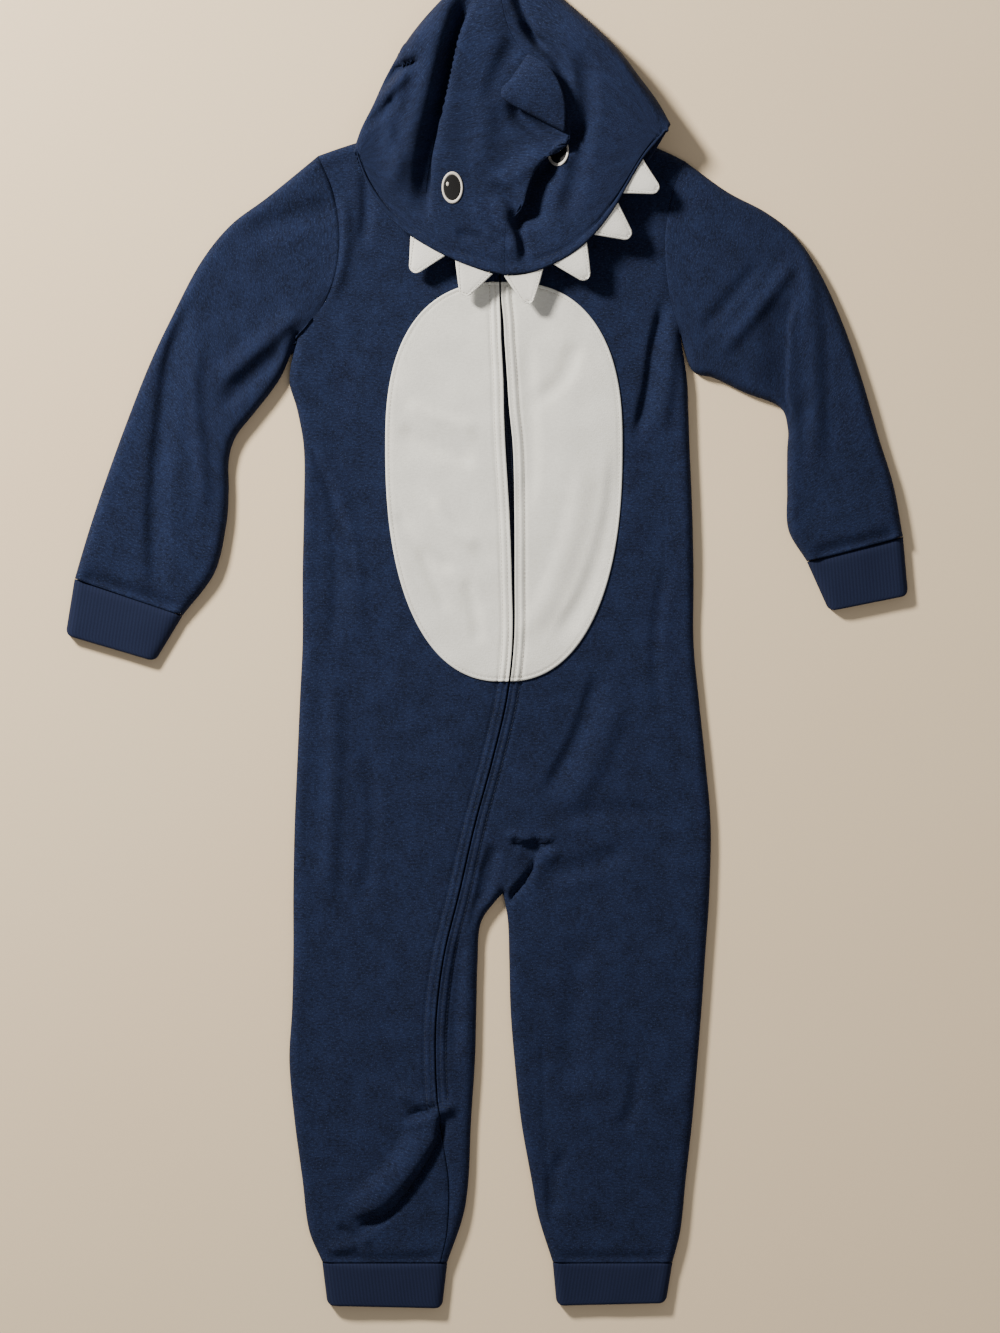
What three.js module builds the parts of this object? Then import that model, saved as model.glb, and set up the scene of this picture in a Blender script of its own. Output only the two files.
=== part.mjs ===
// A child's hooded one-piece pajama with a shark's face, fin and teeth, laid face up.
// Millimetres. x runs towards the garment's left side, y towards the hood, z up.
// While it is built, x = 0 is the body's middle line and y = 0 is the crotch.
import * as THREE from "three";

// Cloth and seams
const WALL = 2;
const SEAM_GAP = 0.3;
const BELLY_WALL = 1.5;
const TAPE_WALL = 1;
const EDGE_HEIGHT = 3;
const LEAST_TOP = 2 * WALL + 0.4;

// Heights of the top cloth over the surface that the garment lies on
const BODY_TOP = 9;
const SLEEVE_TOP = 11.5;
const CUFF_TOP = 8.5;
// The sleeves' height comes in beyond this x and above this y, over these distances
const BEYOND_BODY = { x: 118, overX: 45, y: 205, overY: 60 };

// Radius in plan over which cloth turns down to a side
const FRONT_ROUND = 7;
const BACK_ROUND = 3;
const HOOD_ROUND = 12;
const HOOD_BACK_ROUND = 5;

// Shares of that radius at which a turned edge has its points
const FINE_TURN = [0, 0.134, 0.5, 1];
const PLAIN_TURN = [0, 0.3, 1];
// Largest share of a narrow piece's width that a turned side takes
const SIDE_TURN_LIMIT = 0.4;
const FORK_TURN_LIMIT = 0.6;
const TUBE_TURN_LIMIT = 0.3;
const HOOD_TURN_LIMIT = 0.6;

// Key heights along the body
const ARMPIT_Y = 423;
const NECK_FRONT = [0, 502];
const NECK_BACK = [0, 566];
const ZIP_END_Y = -159;
const ANKLE_SEAM_Y = -280;
// Length above the armpits over which the zip comes to the middle of the neckline
const ZIP_TO_NECK = 40;

// White belly: an oval on the two fronts
const BELLY_MIDDLE = [3, 340];
const BELLY_HALF_WIDTH = 90;
const BELLY_UP = 124;
const BELLY_DOWN = 179.5;
const BELLY_TOP_POWER = 2.5;
const BELLY_LOW_POWER = 2.35;
const BELLY_LOW_Y = 163.5;
const PLACKET = 9;
// Below the belly its edge goes on as a column at this share of the way from the zip to the side
const BELOW_BELLY = { share: 0.45, over: 90 };

// Body outline and zip line from the armpit down to the crotch and on to the ankle
const BODY_SECTIONS = [
  { y: 423, right: -154, left: 137, zip: 2 },
  { y: 390, right: -160, left: 142, zip: 4 },
  { y: 367, right: -154, left: 143, zip: 5 },
  { y: 338, right: -149, left: 144, zip: 7 },
  { y: 290, right: -149, left: 146, zip: 9 },
  { y: 240, right: -150, left: 147, zip: 10 },
  { y: 190, right: -150, left: 147, zip: 10 },
  { y: 147, right: -152, left: 151, zip: 5 },
  { y: 100, right: -154, left: 156, zip: -6 },
  { y: 52, right: -156, left: 160, zip: -19 },
  { y: 0, right: -157, left: 159, zip: -31 },
  { y: -45, right: -157, left: 156, zip: -42 },
  { y: -89, right: -158, left: 153, zip: -48 },
  { y: -127, right: -160, left: 150, zip: -49 },
  { y: -173, right: -156, left: 146, zip: -46 },
  { y: -218, right: -150, left: 141, zip: -39 },
  { y: -256, right: -145, left: 137, zip: -40 },
  { y: -280, right: -135, left: 131, zip: -45 },
];

// Inside edges of the two legs, and the middle between them
const CROTCH = [2, 0];
const INSEAMS = [
  { y: 0, right: 1.5, left: 2.5 },
  { y: -21, right: -14, left: 6 },
  { y: -51, right: -17, left: 7 },
  { y: -89, right: -18, left: 8 },
  { y: -127, right: -19, left: 11 },
  { y: -173, right: -22, left: 16 },
  { y: -218, right: -24, left: 24 },
  { y: -245, right: -28, left: 29 },
  { y: -280, right: -40, left: 40 },
];

// Rows of the fronts, from the ankle seam to the armpits
const BODY_ROWS = [
  -280, -262, -240, -214, -187, -159, -127, -94, -64, -38, -17, 0, 17, 38, 63, 90, 120, 145, 163.5,
  168, 177, 192, 214, 242, 273, 303, 334, 360, 384, 405, 423,
];
// Shares of the way from the armpit to the shoulder, for the rows above
const YOKE_SHARES = [0.16, 0.31, 0.41, 0.48, 0.64, 0.8, 0.92, 0.974, 0.9935, 1];
const BELLY_TOP_SHARE = 0.48;
const YOKE_BULGE_FROM = 0.3;
// Shares of the front neckline at which the placket's column and the last neck column meet it
const NECK_COLUMNS = { placket: 0.12, last: 0.5 };

// Half the opening between the fronts at the zip, which a slider spreads at the top
const ZIP_OPENING = [
  { y: 502, half: 5.5 },
  { y: 486, half: 5.2 },
  { y: 470, half: 1 },
  { y: 430, half: 1 },
  { y: 380, half: 1.6 },
  { y: 338, half: 2.8 },
  { y: 290, half: 2 },
  { y: 240, half: 1 },
  { y: -150, half: 0.8 },
  { y: -175, half: 0.2 },
];

// Necklines, shoulders and armholes of the two sides
const SIDES = {
  right: {
    sign: -1,
    shoulder: [[-76, 580], [-99, 573], [-121, 566], [-138, 560]],
    neckline: [[0, 502], [-46, 518], [-70, 549], [-76, 580]],
    backNeck: [[0, 566], [-30, 567.5], [-58, 572], [-76, 580]],
    armhole: [[-154, 423], [-131, 452], [-122, 490], [-126, 530], [-138, 560]],
  },
  left: {
    sign: 1,
    shoulder: [[76, 580], [104, 572], [128, 562], [140, 556]],
    neckline: [[0, 502], [46, 518], [70, 549], [76, 580]],
    backNeck: [[0, 566], [30, 567.5], [58, 572], [76, 580]],
    armhole: [[137, 423], [128, 456], [125, 496], [130, 530], [140, 556]],
  },
};

// Sleeves from the armhole to the cuff: the two ends of each section
const SLEEVE_SECTIONS = {
  right: [
    { outer: [-138, 560], inner: [-154, 423] },
    { outer: [-176, 529], inner: [-164, 397] },
    { outer: [-205, 507], inner: [-173, 382] },
    { outer: [-228, 478], inner: [-188, 363] },
    { outer: [-249, 438], inner: [-201, 346] },
    { outer: [-266, 402], inner: [-206, 328] },
    { outer: [-283, 359], inner: [-206, 305] },
    { outer: [-299, 315], inner: [-208, 279] },
    { outer: [-312, 276], inner: [-217, 243] },
    { outer: [-323, 239], inner: [-241, 211] },
  ],
  left: [
    { outer: [140, 556], inner: [137, 423] },
    { outer: [172, 533], inner: [146, 397] },
    { outer: [202, 517], inner: [163, 391] },
    { outer: [224, 499], inner: [186, 380] },
    { outer: [243, 471], inner: [212, 369.5] },
    { outer: [261, 431], inner: [218.5, 353] },
    { outer: [275, 390], inner: [218, 334] },
    { outer: [288, 345], inner: [218, 305] },
    { outer: [299, 309], inner: [219, 276] },
    { outer: [306, 271], inner: [233, 252] },
  ],
};
const SLEEVE_STEPS = 13;
const ARMHOLE_REACH = 0.3;
const SLEEVE_PARTING = 0.65;
// Shares across a sleeve or cuff at which its two layers have points between their turned sides
const TUBE_TOP_SHARES = [0.25, 0.42, 0.58, 0.75];
const TUBE_UNDER_SHARES = [0.66, 0.33];

// Ribbed cuffs: where each begins, and its free end
const CUFFS = {
  wrist_cuff_right: { from: [[-323, 239], [-241, 211]], to: [[-330, 196], [-262, 176]] },
  wrist_cuff_left: { from: [[306, 271], [233, 252]], to: [[310, 226], [250, 214]] },
  ankle_cuff_right: { from: [[-135, -280], [-40, -280]], to: [[-131, -313], [-44, -315]] },
  ankle_cuff_left: { from: [[131, -280], [40, -280]], to: [[126, -311], [43, -313]] },
};
const CUFF_STEPS = 3;

// Folds of the body, legs and sleeves. A path's left side is on the left hand along it.
const FOLDS = [
  { where: "right sleeve, long hollow", depth: -4.5, left: 16, right: 9,
    path: [[-240, 462], [-253, 390], [-261, 317], [-263, 280], [-261, 222]] },
  { where: "right sleeve, ridge beside it", depth: 2.5, left: 9, right: 9,
    path: [[-229, 420], [-232, 380], [-227, 329], [-224, 285]] },
  { where: "right underarm, ridge", depth: 4, left: 8, right: 14,
    path: [[-150, 440], [-182, 414], [-215, 385]] },
  { where: "right underarm, hollow", depth: -3.5, left: 8, right: 12,
    path: [[-160, 414], [-186, 392], [-212, 368]] },
  { where: "right shoulder, hollow", depth: -3, left: 14, right: 18,
    path: [[-190, 500], [-160, 512], [-122, 524]] },
  { where: "right chest, hollow by the armhole", depth: -3.5, left: 8, right: 8,
    path: [[-102, 548], [-101, 520], [-104, 492]] },
  { where: "right armhole, ridge", depth: 2.5, left: 8, right: 8,
    path: [[-118, 530], [-118, 490], [-126, 452]] },
  { where: "left sleeve, step at the elbow", depth: -5, left: 5, right: 26,
    path: [[220, 452], [218, 420], [217, 385], [217, 360]] },
  { where: "left sleeve, ridge down it", depth: 3, left: 12, right: 10,
    path: [[230, 492], [236, 445], [238, 390], [240, 320]] },
  { where: "left sleeve, slanting ridge", depth: 3, left: 9, right: 10,
    path: [[226, 482], [198, 446], [166, 408]] },
  { where: "left sleeve, slanting hollow", depth: -2.5, left: 9, right: 9,
    path: [[198, 478], [174, 450], [152, 424]] },
  { where: "left chest, deep crease", depth: -4.2, left: 10, right: 6,
    path: [[125, 452], [116, 414], [112, 385], [103, 345]] },
  { where: "left chest, ridge beside it", depth: 2.5, left: 9, right: 9,
    path: [[134, 430], [128, 390], [122, 350]] },
  { where: "right chest, slanting ridge", depth: 1.6, left: 12, right: 12,
    path: [[-146, 355], [-122, 300], [-110, 240], [-108, 190]] },
  { where: "right hip, long ridge", depth: 2, left: 10, right: 12,
    path: [[-126, 170], [-125, 110], [-128, 50], [-130, -10]] },
  { where: "left groin, hollow", depth: -3, left: 13, right: 9,
    path: [[75, 168], [58, 118], [34, 74]] },
  { where: "left groin, ridge", depth: 2, left: 14, right: 14,
    path: [[92, 150], [74, 104], [52, 64]] },
  { where: "left hip, hollow", depth: -1.8, left: 12, right: 12,
    path: [[40, 56], [84, 62], [130, 58]] },
  { where: "crotch, pocket", depth: -4.2, left: 9, right: 8,
    path: [[38, 40], [24, 34], [20, 12], [8, -2]] },
  { where: "crotch, slanting hollow", depth: -3, left: 8, right: 8,
    path: [[-4, 38], [-8, 14], [-14, -12]] },
  { where: "left thigh, hollow", depth: -2.2, left: 14, right: 12,
    path: [[30, 14], [62, 20], [100, 34]] },
  { where: "right knee, ridge over the tuck", depth: 2.5, left: 10, right: 8,
    path: [[-80, -150], [-56, -160], [-30, -164]] },
  { where: "right knee, deep hollow", depth: -4.5, left: 12, right: 8,
    path: [[-40, -168], [-54, -208], [-76, -238], [-118, -256]] },
  { where: "right shin, ridge beside it", depth: 2.5, left: 10, right: 10,
    path: [[-62, -176], [-80, -208], [-108, -232]] },
  { where: "right thigh, hollow along the inseam", depth: -2.5, left: 8, right: 12,
    path: [[-30, -30], [-33, -80], [-35, -130]] },
  { where: "left shin, crease", depth: -2, left: 8, right: 8,
    path: [[50, -196], [41, -214], [42, -244]] },
  { where: "left knee, crease", depth: -1.8, left: 9, right: 9,
    path: [[104, -126], [102, -158], [92, -180]] },
  { where: "left thigh, long hollow", depth: -1.6, left: 16, right: 16,
    path: [[62, -30], [56, -90], [54, -150]] },
  { where: "right ankle gather", depth: -2, left: 7, right: 7,
    path: [[-138, -276], [-88, -278], [-40, -276]] },
  { where: "left ankle gather", depth: -2, left: 7, right: 7,
    path: [[132, -276], [86, -277], [42, -276]] },
  { where: "right wrist gather", depth: -3, left: 9, right: 9,
    path: [[-324, 243], [-282, 229], [-240, 215]] },
  { where: "left wrist gather", depth: -3, left: 9, right: 9,
    path: [[306, 274], [270, 265], [234, 256]] },
];
const FOLD_END = 0.22;
const FOLD_EDGE_FADE = 11;

// Hood laid forward over the chest: its open edge, its folded side and its neck seam
const HOOD = {
  right: {
    hem: [[4, 468], [-23, 475], [-53, 489], [-80, 508], [-99, 534], [-108, 558]],
    side: [[0, 703], [-23, 697], [-43, 680], [-68, 651], [-87, 619], [-97, 596], [-105, 580], [-110, 566]],
  },
  left: {
    hem: [[4, 468], [30, 472], [61, 489], [84, 515], [106, 553], [123, 574]],
    side: [[0, 703], [27, 696], [49, 678], [72, 658], [91, 639], [106, 619], [119, 601], [129, 582]],
  },
};
// Lines of the hood from its open edge over its side to its neck seam, as shares of each
const HOOD_LINES = [
  { line: 0, hem: 0, side: 0, neck: 0 },
  { line: 0.2, hem: 0.15, side: 0.2, neck: 0.4 },
  { line: 0.4, hem: 0.32, side: 0.4, neck: 0.82 },
  { line: 0.5, hem: 0.41, side: 0.52, neck: 1 },
  { line: 0.6, hem: 0.51, side: 0.64, neck: 1.2 },
  { line: 0.8, hem: 0.74, side: 0.85, neck: 1.62 },
  { line: 1, hem: 1, side: 1, neck: 2 },
];
const HOOD_LINE_COUNT = 12;
const HOOD_FRONT_STEPS = 12;
const HOOD_BACK_STEPS = 4;
const HOOD_FOLD_HALF = 4.5;
const HOOD_OVER_CHEST = BODY_TOP + 0.6;
const HOOD_RAMP = { shoulder: { from: 17, length: 20 }, neck: { from: 0, length: 14 } };
const HOOD_NECK_GAP = 0.4;
const HOOD_PARTING = 0.32;
const CHEEK_BULGE = 26;
const CHEEK_OUT = [0.5, -0.87];
const HOOD_CORNER_LIFT = { right: 1, left: 10 };
const CORNER_LIFT_REACH = 0.7;
// The middle seam swings to the left around one height, and less on the lines beside it
const SEAM_SWING = { by: 46, at: 592, reach: 44, from: 36, power: 1.5 };

// Height of the hood's top cloth in its middle, and the slopes that lead to its sides and crown
const HOOD_MIDDLE = 25;
const HOOD_SLOPES = {
  right: { height: 21.5, from: 30, over: 60 },
  left: { height: 29.5, from: 10, over: 70 },
  crown: { height: 16.5, from: 640, over: 60 },
};
// Below this y the hood lies on the chest, and its top cloth stays this far over its under layer
const HOOD_CHEST_Y = 590;
const HOOD_CLEAR = 1.2;
const CHIN_GAP = 0.6;

// Folds of the hood, as above
const HOOD_FOLDS = [
  { where: "deep hollow on the right", depth: -11, left: 7, right: 22,
    path: [[-20, 690], [-30, 648], [-39, 606], [-48, 560], [-58, 514]] },
  { where: "roll along the right side", depth: 3, left: 12, right: 12,
    path: [[-48, 668], [-70, 620], [-82, 572], [-80, 530]] },
  { where: "middle ridge", depth: 3, left: 16, right: 16,
    path: [[-4, 690], [-6, 640], [-12, 590], [-14, 540]] },
  { where: "hollow above the fin", depth: -7, left: 8, right: 9,
    path: [[10, 692], [20, 664], [34, 638]] },
  { where: "deep fold under the fin", depth: -10, left: 18, right: 13,
    path: [[47, 578], [36, 556], [24, 528], [18, 506]] },
  { where: "crease down to the open edge", depth: -3, left: 6, right: 5,
    path: [[18, 514], [18, 494], [20, 476]] },
  { where: "ridge left of it", depth: 3, left: 10, right: 8,
    path: [[30, 572], [14, 548], [4, 524]] },
  { where: "small curl by the open edge", depth: 2.5, left: 7, right: 7,
    path: [[-14, 500], [0, 492], [12, 486]] },
  { where: "dent in the right side", depth: -5, left: 7, right: 7,
    path: [[-94, 610], [-78, 624], [-64, 640]] },
  { where: "left cheek, shallow hollow", depth: -4, left: 12, right: 12,
    path: [[62, 640], [66, 596], [58, 548], [48, 508]] },
];

// Fin: its root on the hood's middle seam, and its tip, which has flopped over
const FIN_ROOT = [[21, 635], [36, 625], [44, 613], [49, 597], [49, 575]];
const FIN_TIP = [[7, 614], [1.5, 608.5], [1.2, 602], [8, 596.5]];
const FIN = { steps: 6, across: 6, thick: 6, rim: 1.8, lift: 6, rootShare: 0.12, reach: 3 };

// Teeth along the open edge: distance of each middle from the edge's own middle
const TEETH = [-135, -99, -63, -24.5, 14, 52.5, 90.5, 128.5];
const TOOTH = { base: 30, length: 22.5, thick: 1.6, droop: 3, sink: 0.2, across: 4 };
// Half width of a tooth at shares of its length
const TOOTH_PROFILE = [
  { out: 0, half: 15 },
  { out: 0.4, half: 10.4 },
  { out: 0.75, half: 6.3 },
  { out: 0.92, half: 4.1 },
  { out: 1, half: 1.6 },
];
// A tooth's first part follows the open edge and the rest its own middle line
const TOOTH_STRAIGHT_BY = 1.6;
const TOOTH_GAP = 0.6;
const TUCKED_TEETH = 2;
const TUCKED_RISE = 1.3;
const TUCKED_IN = 2;
const TUCKED_TIP_SHARE = 0.24;

// Eyes: an upright oval with a dark pupil
const EYES = {
  right: [-36, 534],
  left: [44, 562.5],
};
const EYE = { half: [8, 12], white: 0.8, pupil: 0.6, around: 20, reach: 2.5 };
const EYE_RINGS = [1, 0.62, 0.25];
const PUPIL_RINGS = EYE_RINGS.slice(1);

// Zip slider with its flat tab
const SLIDER = { y: 491, width: 8, length: 12, height: 3.2, corner: 2 };
const TAB = { width: 5, length: 14, height: 1.2, corner: 1.5 };

// Direction in which a shoulder's side faces: mostly up, a little outwards
const SHOULDER_LEAN = 0.3;

// Numbers and plain vectors

const mix = (a, b, share) => a + (b - a) * share;
const mixPoint = (a, b, share) => a.map((value, i) => mix(value, b[i], share));
const clamp = (value, low, high) => Math.min(Math.max(value, low), high);
const distance = (a, b) => Math.hypot(...a.map((value, i) => value - b[i]));

function smooth(value) {
  const share = clamp(value, 0, 1);
  return share * share * (3 - 2 * share);
}

function unit(vector) {
  const length = Math.hypot(...vector) || 1;
  return vector.map((value) => value / length);
}

// How far a turned edge has risen, at a share of its radius from the side
const rise = (share) => Math.sqrt(1 - (1 - clamp(share, 0, 1)) ** 2);

// A smooth curve through values at rising places
function curveThrough(places, values) {
  const last = places.length - 1;
  const slopes = places.map((place, i) => {
    const a = Math.max(i - 1, 0);
    const b = Math.min(i + 1, last);
    return (values[b] - values[a]) / (places[b] - places[a]);
  });
  return (place) => {
    let i = 0;
    while (i < last - 1 && place > places[i + 1]) i += 1;
    const step = places[i + 1] - places[i];
    const share = clamp((place - places[i]) / step, 0, 1);
    const rest = 1 - share;
    return (
      (1 + 2 * share) * rest * rest * values[i] +
      share * rest * rest * step * slopes[i] +
      share * share * (3 - 2 * share) * values[i + 1] -
      share * share * rest * step * slopes[i + 1]
    );
  };
}

function tableCurve(rows, place, value) {
  const sorted = [...rows].sort((a, b) => a[place] - b[place]);
  return curveThrough(sorted.map((row) => row[place]), sorted.map((row) => row[value]));
}

// A smooth path through points, read by a share of its length
function pathCurve(points) {
  const places = [0];
  for (let i = 1; i < points.length; i += 1) {
    places.push(places[i - 1] + distance(points[i - 1], points[i]));
  }
  const length = places[places.length - 1];
  const axes = points[0].map((_, axis) => curveThrough(places, points.map((point) => point[axis])));
  const at = (share) => axes.map((axis) => axis(share * length));
  return { at, length };
}

const samples = (path, count) =>
  Array.from({ length: count + 1 }, (_, i) => path.at(i / count));

// The nearest place on a list of points joined by lines
function nearestOn(points, x, y) {
  let best = { distance: Infinity };
  let run = 0;
  for (let i = 1; i < points.length; i += 1) {
    const [ax, ay] = points[i - 1];
    const dx = points[i][0] - ax;
    const dy = points[i][1] - ay;
    const length = Math.hypot(dx, dy);
    const share = clamp(((x - ax) * dx + (y - ay) * dy) / (length * length), 0, 1);
    const offX = x - ax - share * dx;
    const offY = y - ay - share * dy;
    const away = Math.hypot(offX, offY);
    if (away < best.distance) {
      best = { distance: away, off: [offX, offY], run: run + share * length, side: dx * offY - dy * offX };
    }
    run += length;
  }
  return { ...best, share: best.run / run };
}

// Outline of the garment without its hood

const bodySide = {
  right: tableCurve(BODY_SECTIONS, "y", "right"),
  left: tableCurve(BODY_SECTIONS, "y", "left"),
};
const inseam = {
  right: tableCurve(INSEAMS, "y", "right"),
  left: tableCurve(INSEAMS, "y", "left"),
};
const zipLineOfBody = tableCurve(BODY_SECTIONS, "y", "zip");
const zipOpening = tableCurve(ZIP_OPENING, "y", "half");

function zipLine(y) {
  if (y <= ARMPIT_Y) return zipLineOfBody(y);
  return mix(zipLineOfBody(ARMPIT_Y), NECK_FRONT[0], smooth((y - ARMPIT_Y) / ZIP_TO_NECK));
}

// An armhole bends only at the shares where both of its seam's pieces have points
const ARMHOLE_SHARES = [0, ...YOKE_SHARES];
const armhole = {};
for (const [name, side] of Object.entries(SIDES)) {
  const path = pathCurve(side.armhole);
  armhole[name] = (share) => {
    let i = 0;
    while (i < ARMHOLE_SHARES.length - 2 && share > ARMHOLE_SHARES[i + 1]) i += 1;
    const low = ARMHOLE_SHARES[i];
    const high = ARMHOLE_SHARES[i + 1];
    return mixPoint(path.at(low), path.at(high), (share - low) / (high - low));
  };
}

// The back neckline bends only where the back's own columns meet it
const BACK_NECK_BENDS = 3;
const backNeckline = {};
for (const [name, side] of Object.entries(SIDES)) {
  const path = pathCurve(side.backNeck);
  backNeckline[name] = (share) => {
    const bend = Math.min(Math.floor(share * BACK_NECK_BENDS), BACK_NECK_BENDS - 1);
    const low = path.at(bend / BACK_NECK_BENDS);
    return mixPoint(low, path.at((bend + 1) / BACK_NECK_BENDS), share * BACK_NECK_BENDS - bend);
  };
}

const sleevePath = {};
for (const [name, rows] of Object.entries(SLEEVE_SECTIONS)) {
  const places = rows.map((_, i) => i / (rows.length - 1));
  const curves = ["outer", "inner"].map((end) =>
    [0, 1].map((axis) => curveThrough(places, rows.map((row) => row[end][axis]))),
  );
  sleevePath[name] = (end, share) => curves[end].map((curve) => curve(share));
}

const OUTLINE_STEP = 8;
const SHOULDER_SAMPLES = 6;
const SLEEVE_SAMPLES = 36;
function outlineOf(curve, low, high) {
  const count = Math.ceil((high - low) / OUTLINE_STEP);
  return Array.from({ length: count + 1 }, (_, i) => {
    const y = mix(low, high, i / count);
    return [curve(y), y];
  });
}

const OUTLINES = [
  outlineOf(bodySide.right, ANKLE_SEAM_Y, ARMPIT_Y),
  outlineOf(bodySide.left, ANKLE_SEAM_Y, ARMPIT_Y),
  outlineOf(inseam.right, ANKLE_SEAM_Y, 0),
  outlineOf(inseam.left, ANKLE_SEAM_Y, 0),
  ...Object.values(SIDES).map((side) => samples(pathCurve(side.shoulder), SHOULDER_SAMPLES)),
  ...Object.keys(SIDES).flatMap((name) =>
    [0, 1].map((end) =>
      Array.from({ length: SLEEVE_SAMPLES + 1 }, (_, i) => sleevePath[name](end, i / SLEEVE_SAMPLES)),
    ),
  ),
  ...Object.values(CUFFS).flatMap((cuff) => [0, 1].map((end) => [cuff.from[end], cuff.to[end]])),
];

function nearestEdge(x, y) {
  let best = { distance: Infinity };
  for (const outline of OUTLINES) {
    const near = nearestOn(outline, x, y);
    if (near.distance < best.distance) best = near;
  }
  return best;
}

// Height that a table of folds adds at a place
function foldHeight(folds, x, y) {
  let height = 0;
  for (const fold of folds) {
    const near = nearestOn(fold.path, x, y);
    const width = near.side > 0 ? fold.left : fold.right;
    if (near.distance >= width) continue;
    const across = 0.5 + 0.5 * Math.cos((Math.PI * near.distance) / width);
    height += fold.depth * across * smooth(Math.min(near.share, 1 - near.share) / FOLD_END + 0.15);
  }
  return height;
}

// Top height of the garment, before its sides turn down
function topHeight(x, y, base) {
  const beyondX = smooth((Math.abs(x) - BEYOND_BODY.x) / BEYOND_BODY.overX);
  const beyondBody = beyondX * smooth((y - BEYOND_BODY.y) / BEYOND_BODY.overY);
  const plain = base ?? mix(BODY_TOP, SLEEVE_TOP, beyondBody);
  const fade = smooth(nearestEdge(x, y).distance / FOLD_EDGE_FADE);
  return Math.max(LEAST_TOP, plain + fade * foldHeight(FOLDS, x, y));
}

// A point of the top cloth and its outward direction. `outward` marks a point on a side.
function frontPoint(x, y, outward, base) {
  const middle = EDGE_HEIGHT + SEAM_GAP / 2;
  if (outward) return { at: [x, y, middle], out: [...unit(outward), 0] };
  const near = nearestEdge(x, y);
  const share = clamp(near.distance / FRONT_ROUND, 0, 1);
  const up = rise(share);
  const top = topHeight(x, y, base);
  const step = 0.4;
  const slopeX = (topHeight(x + step, y, base) - topHeight(x - step, y, base)) / (2 * step);
  const slopeY = (topHeight(x, y + step, base) - topHeight(x, y - step, base)) / (2 * step);
  const away = unit(near.off);
  const steep = ((top - middle) / FRONT_ROUND) * (1 - share);
  return {
    at: [x, y, middle + (top - middle) * up],
    out: unit([-steep * away[0] - up * up * slopeX, -steep * away[1] - up * up * slopeY, up]),
  };
}

// The same for the cloth underneath, which lies flat and turns up to the sides
function backPoint(x, y, outward) {
  const middle = EDGE_HEIGHT - SEAM_GAP / 2;
  if (outward) return { at: [x, y, middle], out: [...unit(outward), 0] };
  const near = nearestEdge(x, y);
  const share = clamp(near.distance / BACK_ROUND, 0, 1);
  const down = rise(share);
  const away = unit(near.off);
  const steep = (middle / BACK_ROUND) * (1 - share);
  return {
    at: [x, y, middle * (1 - down)],
    out: unit([-steep * away[0], -steep * away[1], -down]),
  };
}

// Closed walls

const inward = (point, thick) => point.at.map((value, i) => value - thick * point.out[i]);

// A point whose wall is cut square across a direction
function squared(point, along) {
  const direction = along.length === 2 ? [...along, 0] : along;
  const amount = point.out.reduce((sum, value, axis) => sum + value * direction[axis], 0);
  return { at: point.at, out: unit(point.out.map((value, axis) => value - amount * direction[axis])) };
}

// A closed body from a grid of outer points and the inner points behind them.
// `closed` joins the last column to the first; `slit` parts two columns up to a row.
function wallGeometry(outer, inner, { closed = false, slit = null } = {}) {
  const positions = [];
  const number = new Map();
  const indexOf = (row, column, afterSlit) => {
    const split = slit && column === slit.column && row < slit.row && afterSlit;
    const key = `${row},${column},${split ? 1 : 0}`;
    if (!number.has(key)) {
      number.set(key, number.size);
      const source = split ? slit.points[row] : { outer: outer[row][column], inner: inner[row][column] };
      positions.push(source);
    }
    return number.get(key);
  };
  const columns = outer[0].length;
  const faces = [];
  for (let row = 0; row + 1 < outer.length; row += 1) {
    for (let column = 0; column < (closed ? columns : columns - 1); column += 1) {
      const next = (column + 1) % columns;
      const a = indexOf(row, column, true);
      const b = indexOf(row, next, false);
      const c = indexOf(row + 1, next, false);
      const d = indexOf(row + 1, column, true);
      faces.push([a, b, c], [a, c, d]);
    }
  }
  const count = positions.length;
  const edges = new Map();
  for (const [a, b, c] of faces) {
    for (const [from, to] of [[a, b], [b, c], [c, a]]) {
      if (!edges.delete(`${to},${from}`)) edges.set(`${from},${to}`, [from, to]);
    }
  }
  const all = [];
  for (const [a, b, c] of faces) all.push([a, b, c], [a + count, c + count, b + count]);
  for (const [a, b] of edges.values()) all.push([b, a, a + count], [b, a + count, b + count]);
  const points = [...positions.map((p) => p.outer), ...positions.map((p) => p.inner)];
  return bodyGeometry(points, all);
}

// A geometry from points and faces, turned so that its faces point out
function bodyGeometry(points, faces) {
  let volume = 0;
  for (const [a, b, c] of faces) {
    const [p, q, r] = [points[a], points[b], points[c]];
    volume += p[0] * (q[1] * r[2] - q[2] * r[1]);
    volume += p[1] * (q[2] * r[0] - q[0] * r[2]);
    volume += p[2] * (q[0] * r[1] - q[1] * r[0]);
  }
  const turned = volume < 0 ? faces.map(([a, b, c]) => [a, c, b]) : faces;
  const geometry = new THREE.BufferGeometry();
  geometry.setAttribute("position", new THREE.Float32BufferAttribute(points.flat(), 3));
  geometry.setIndex(turned.flat());
  geometry.computeVertexNormals();
  return geometry;
}

function clothWall(grid, thick, options = {}) {
  const outer = grid.map((row) => row.map((point) => point.at));
  const inner = grid.map((row) => row.map((point) => inward(point, thick)));
  return wallGeometry(outer, inner, options);
}

// Finishes and the finished group

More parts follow.
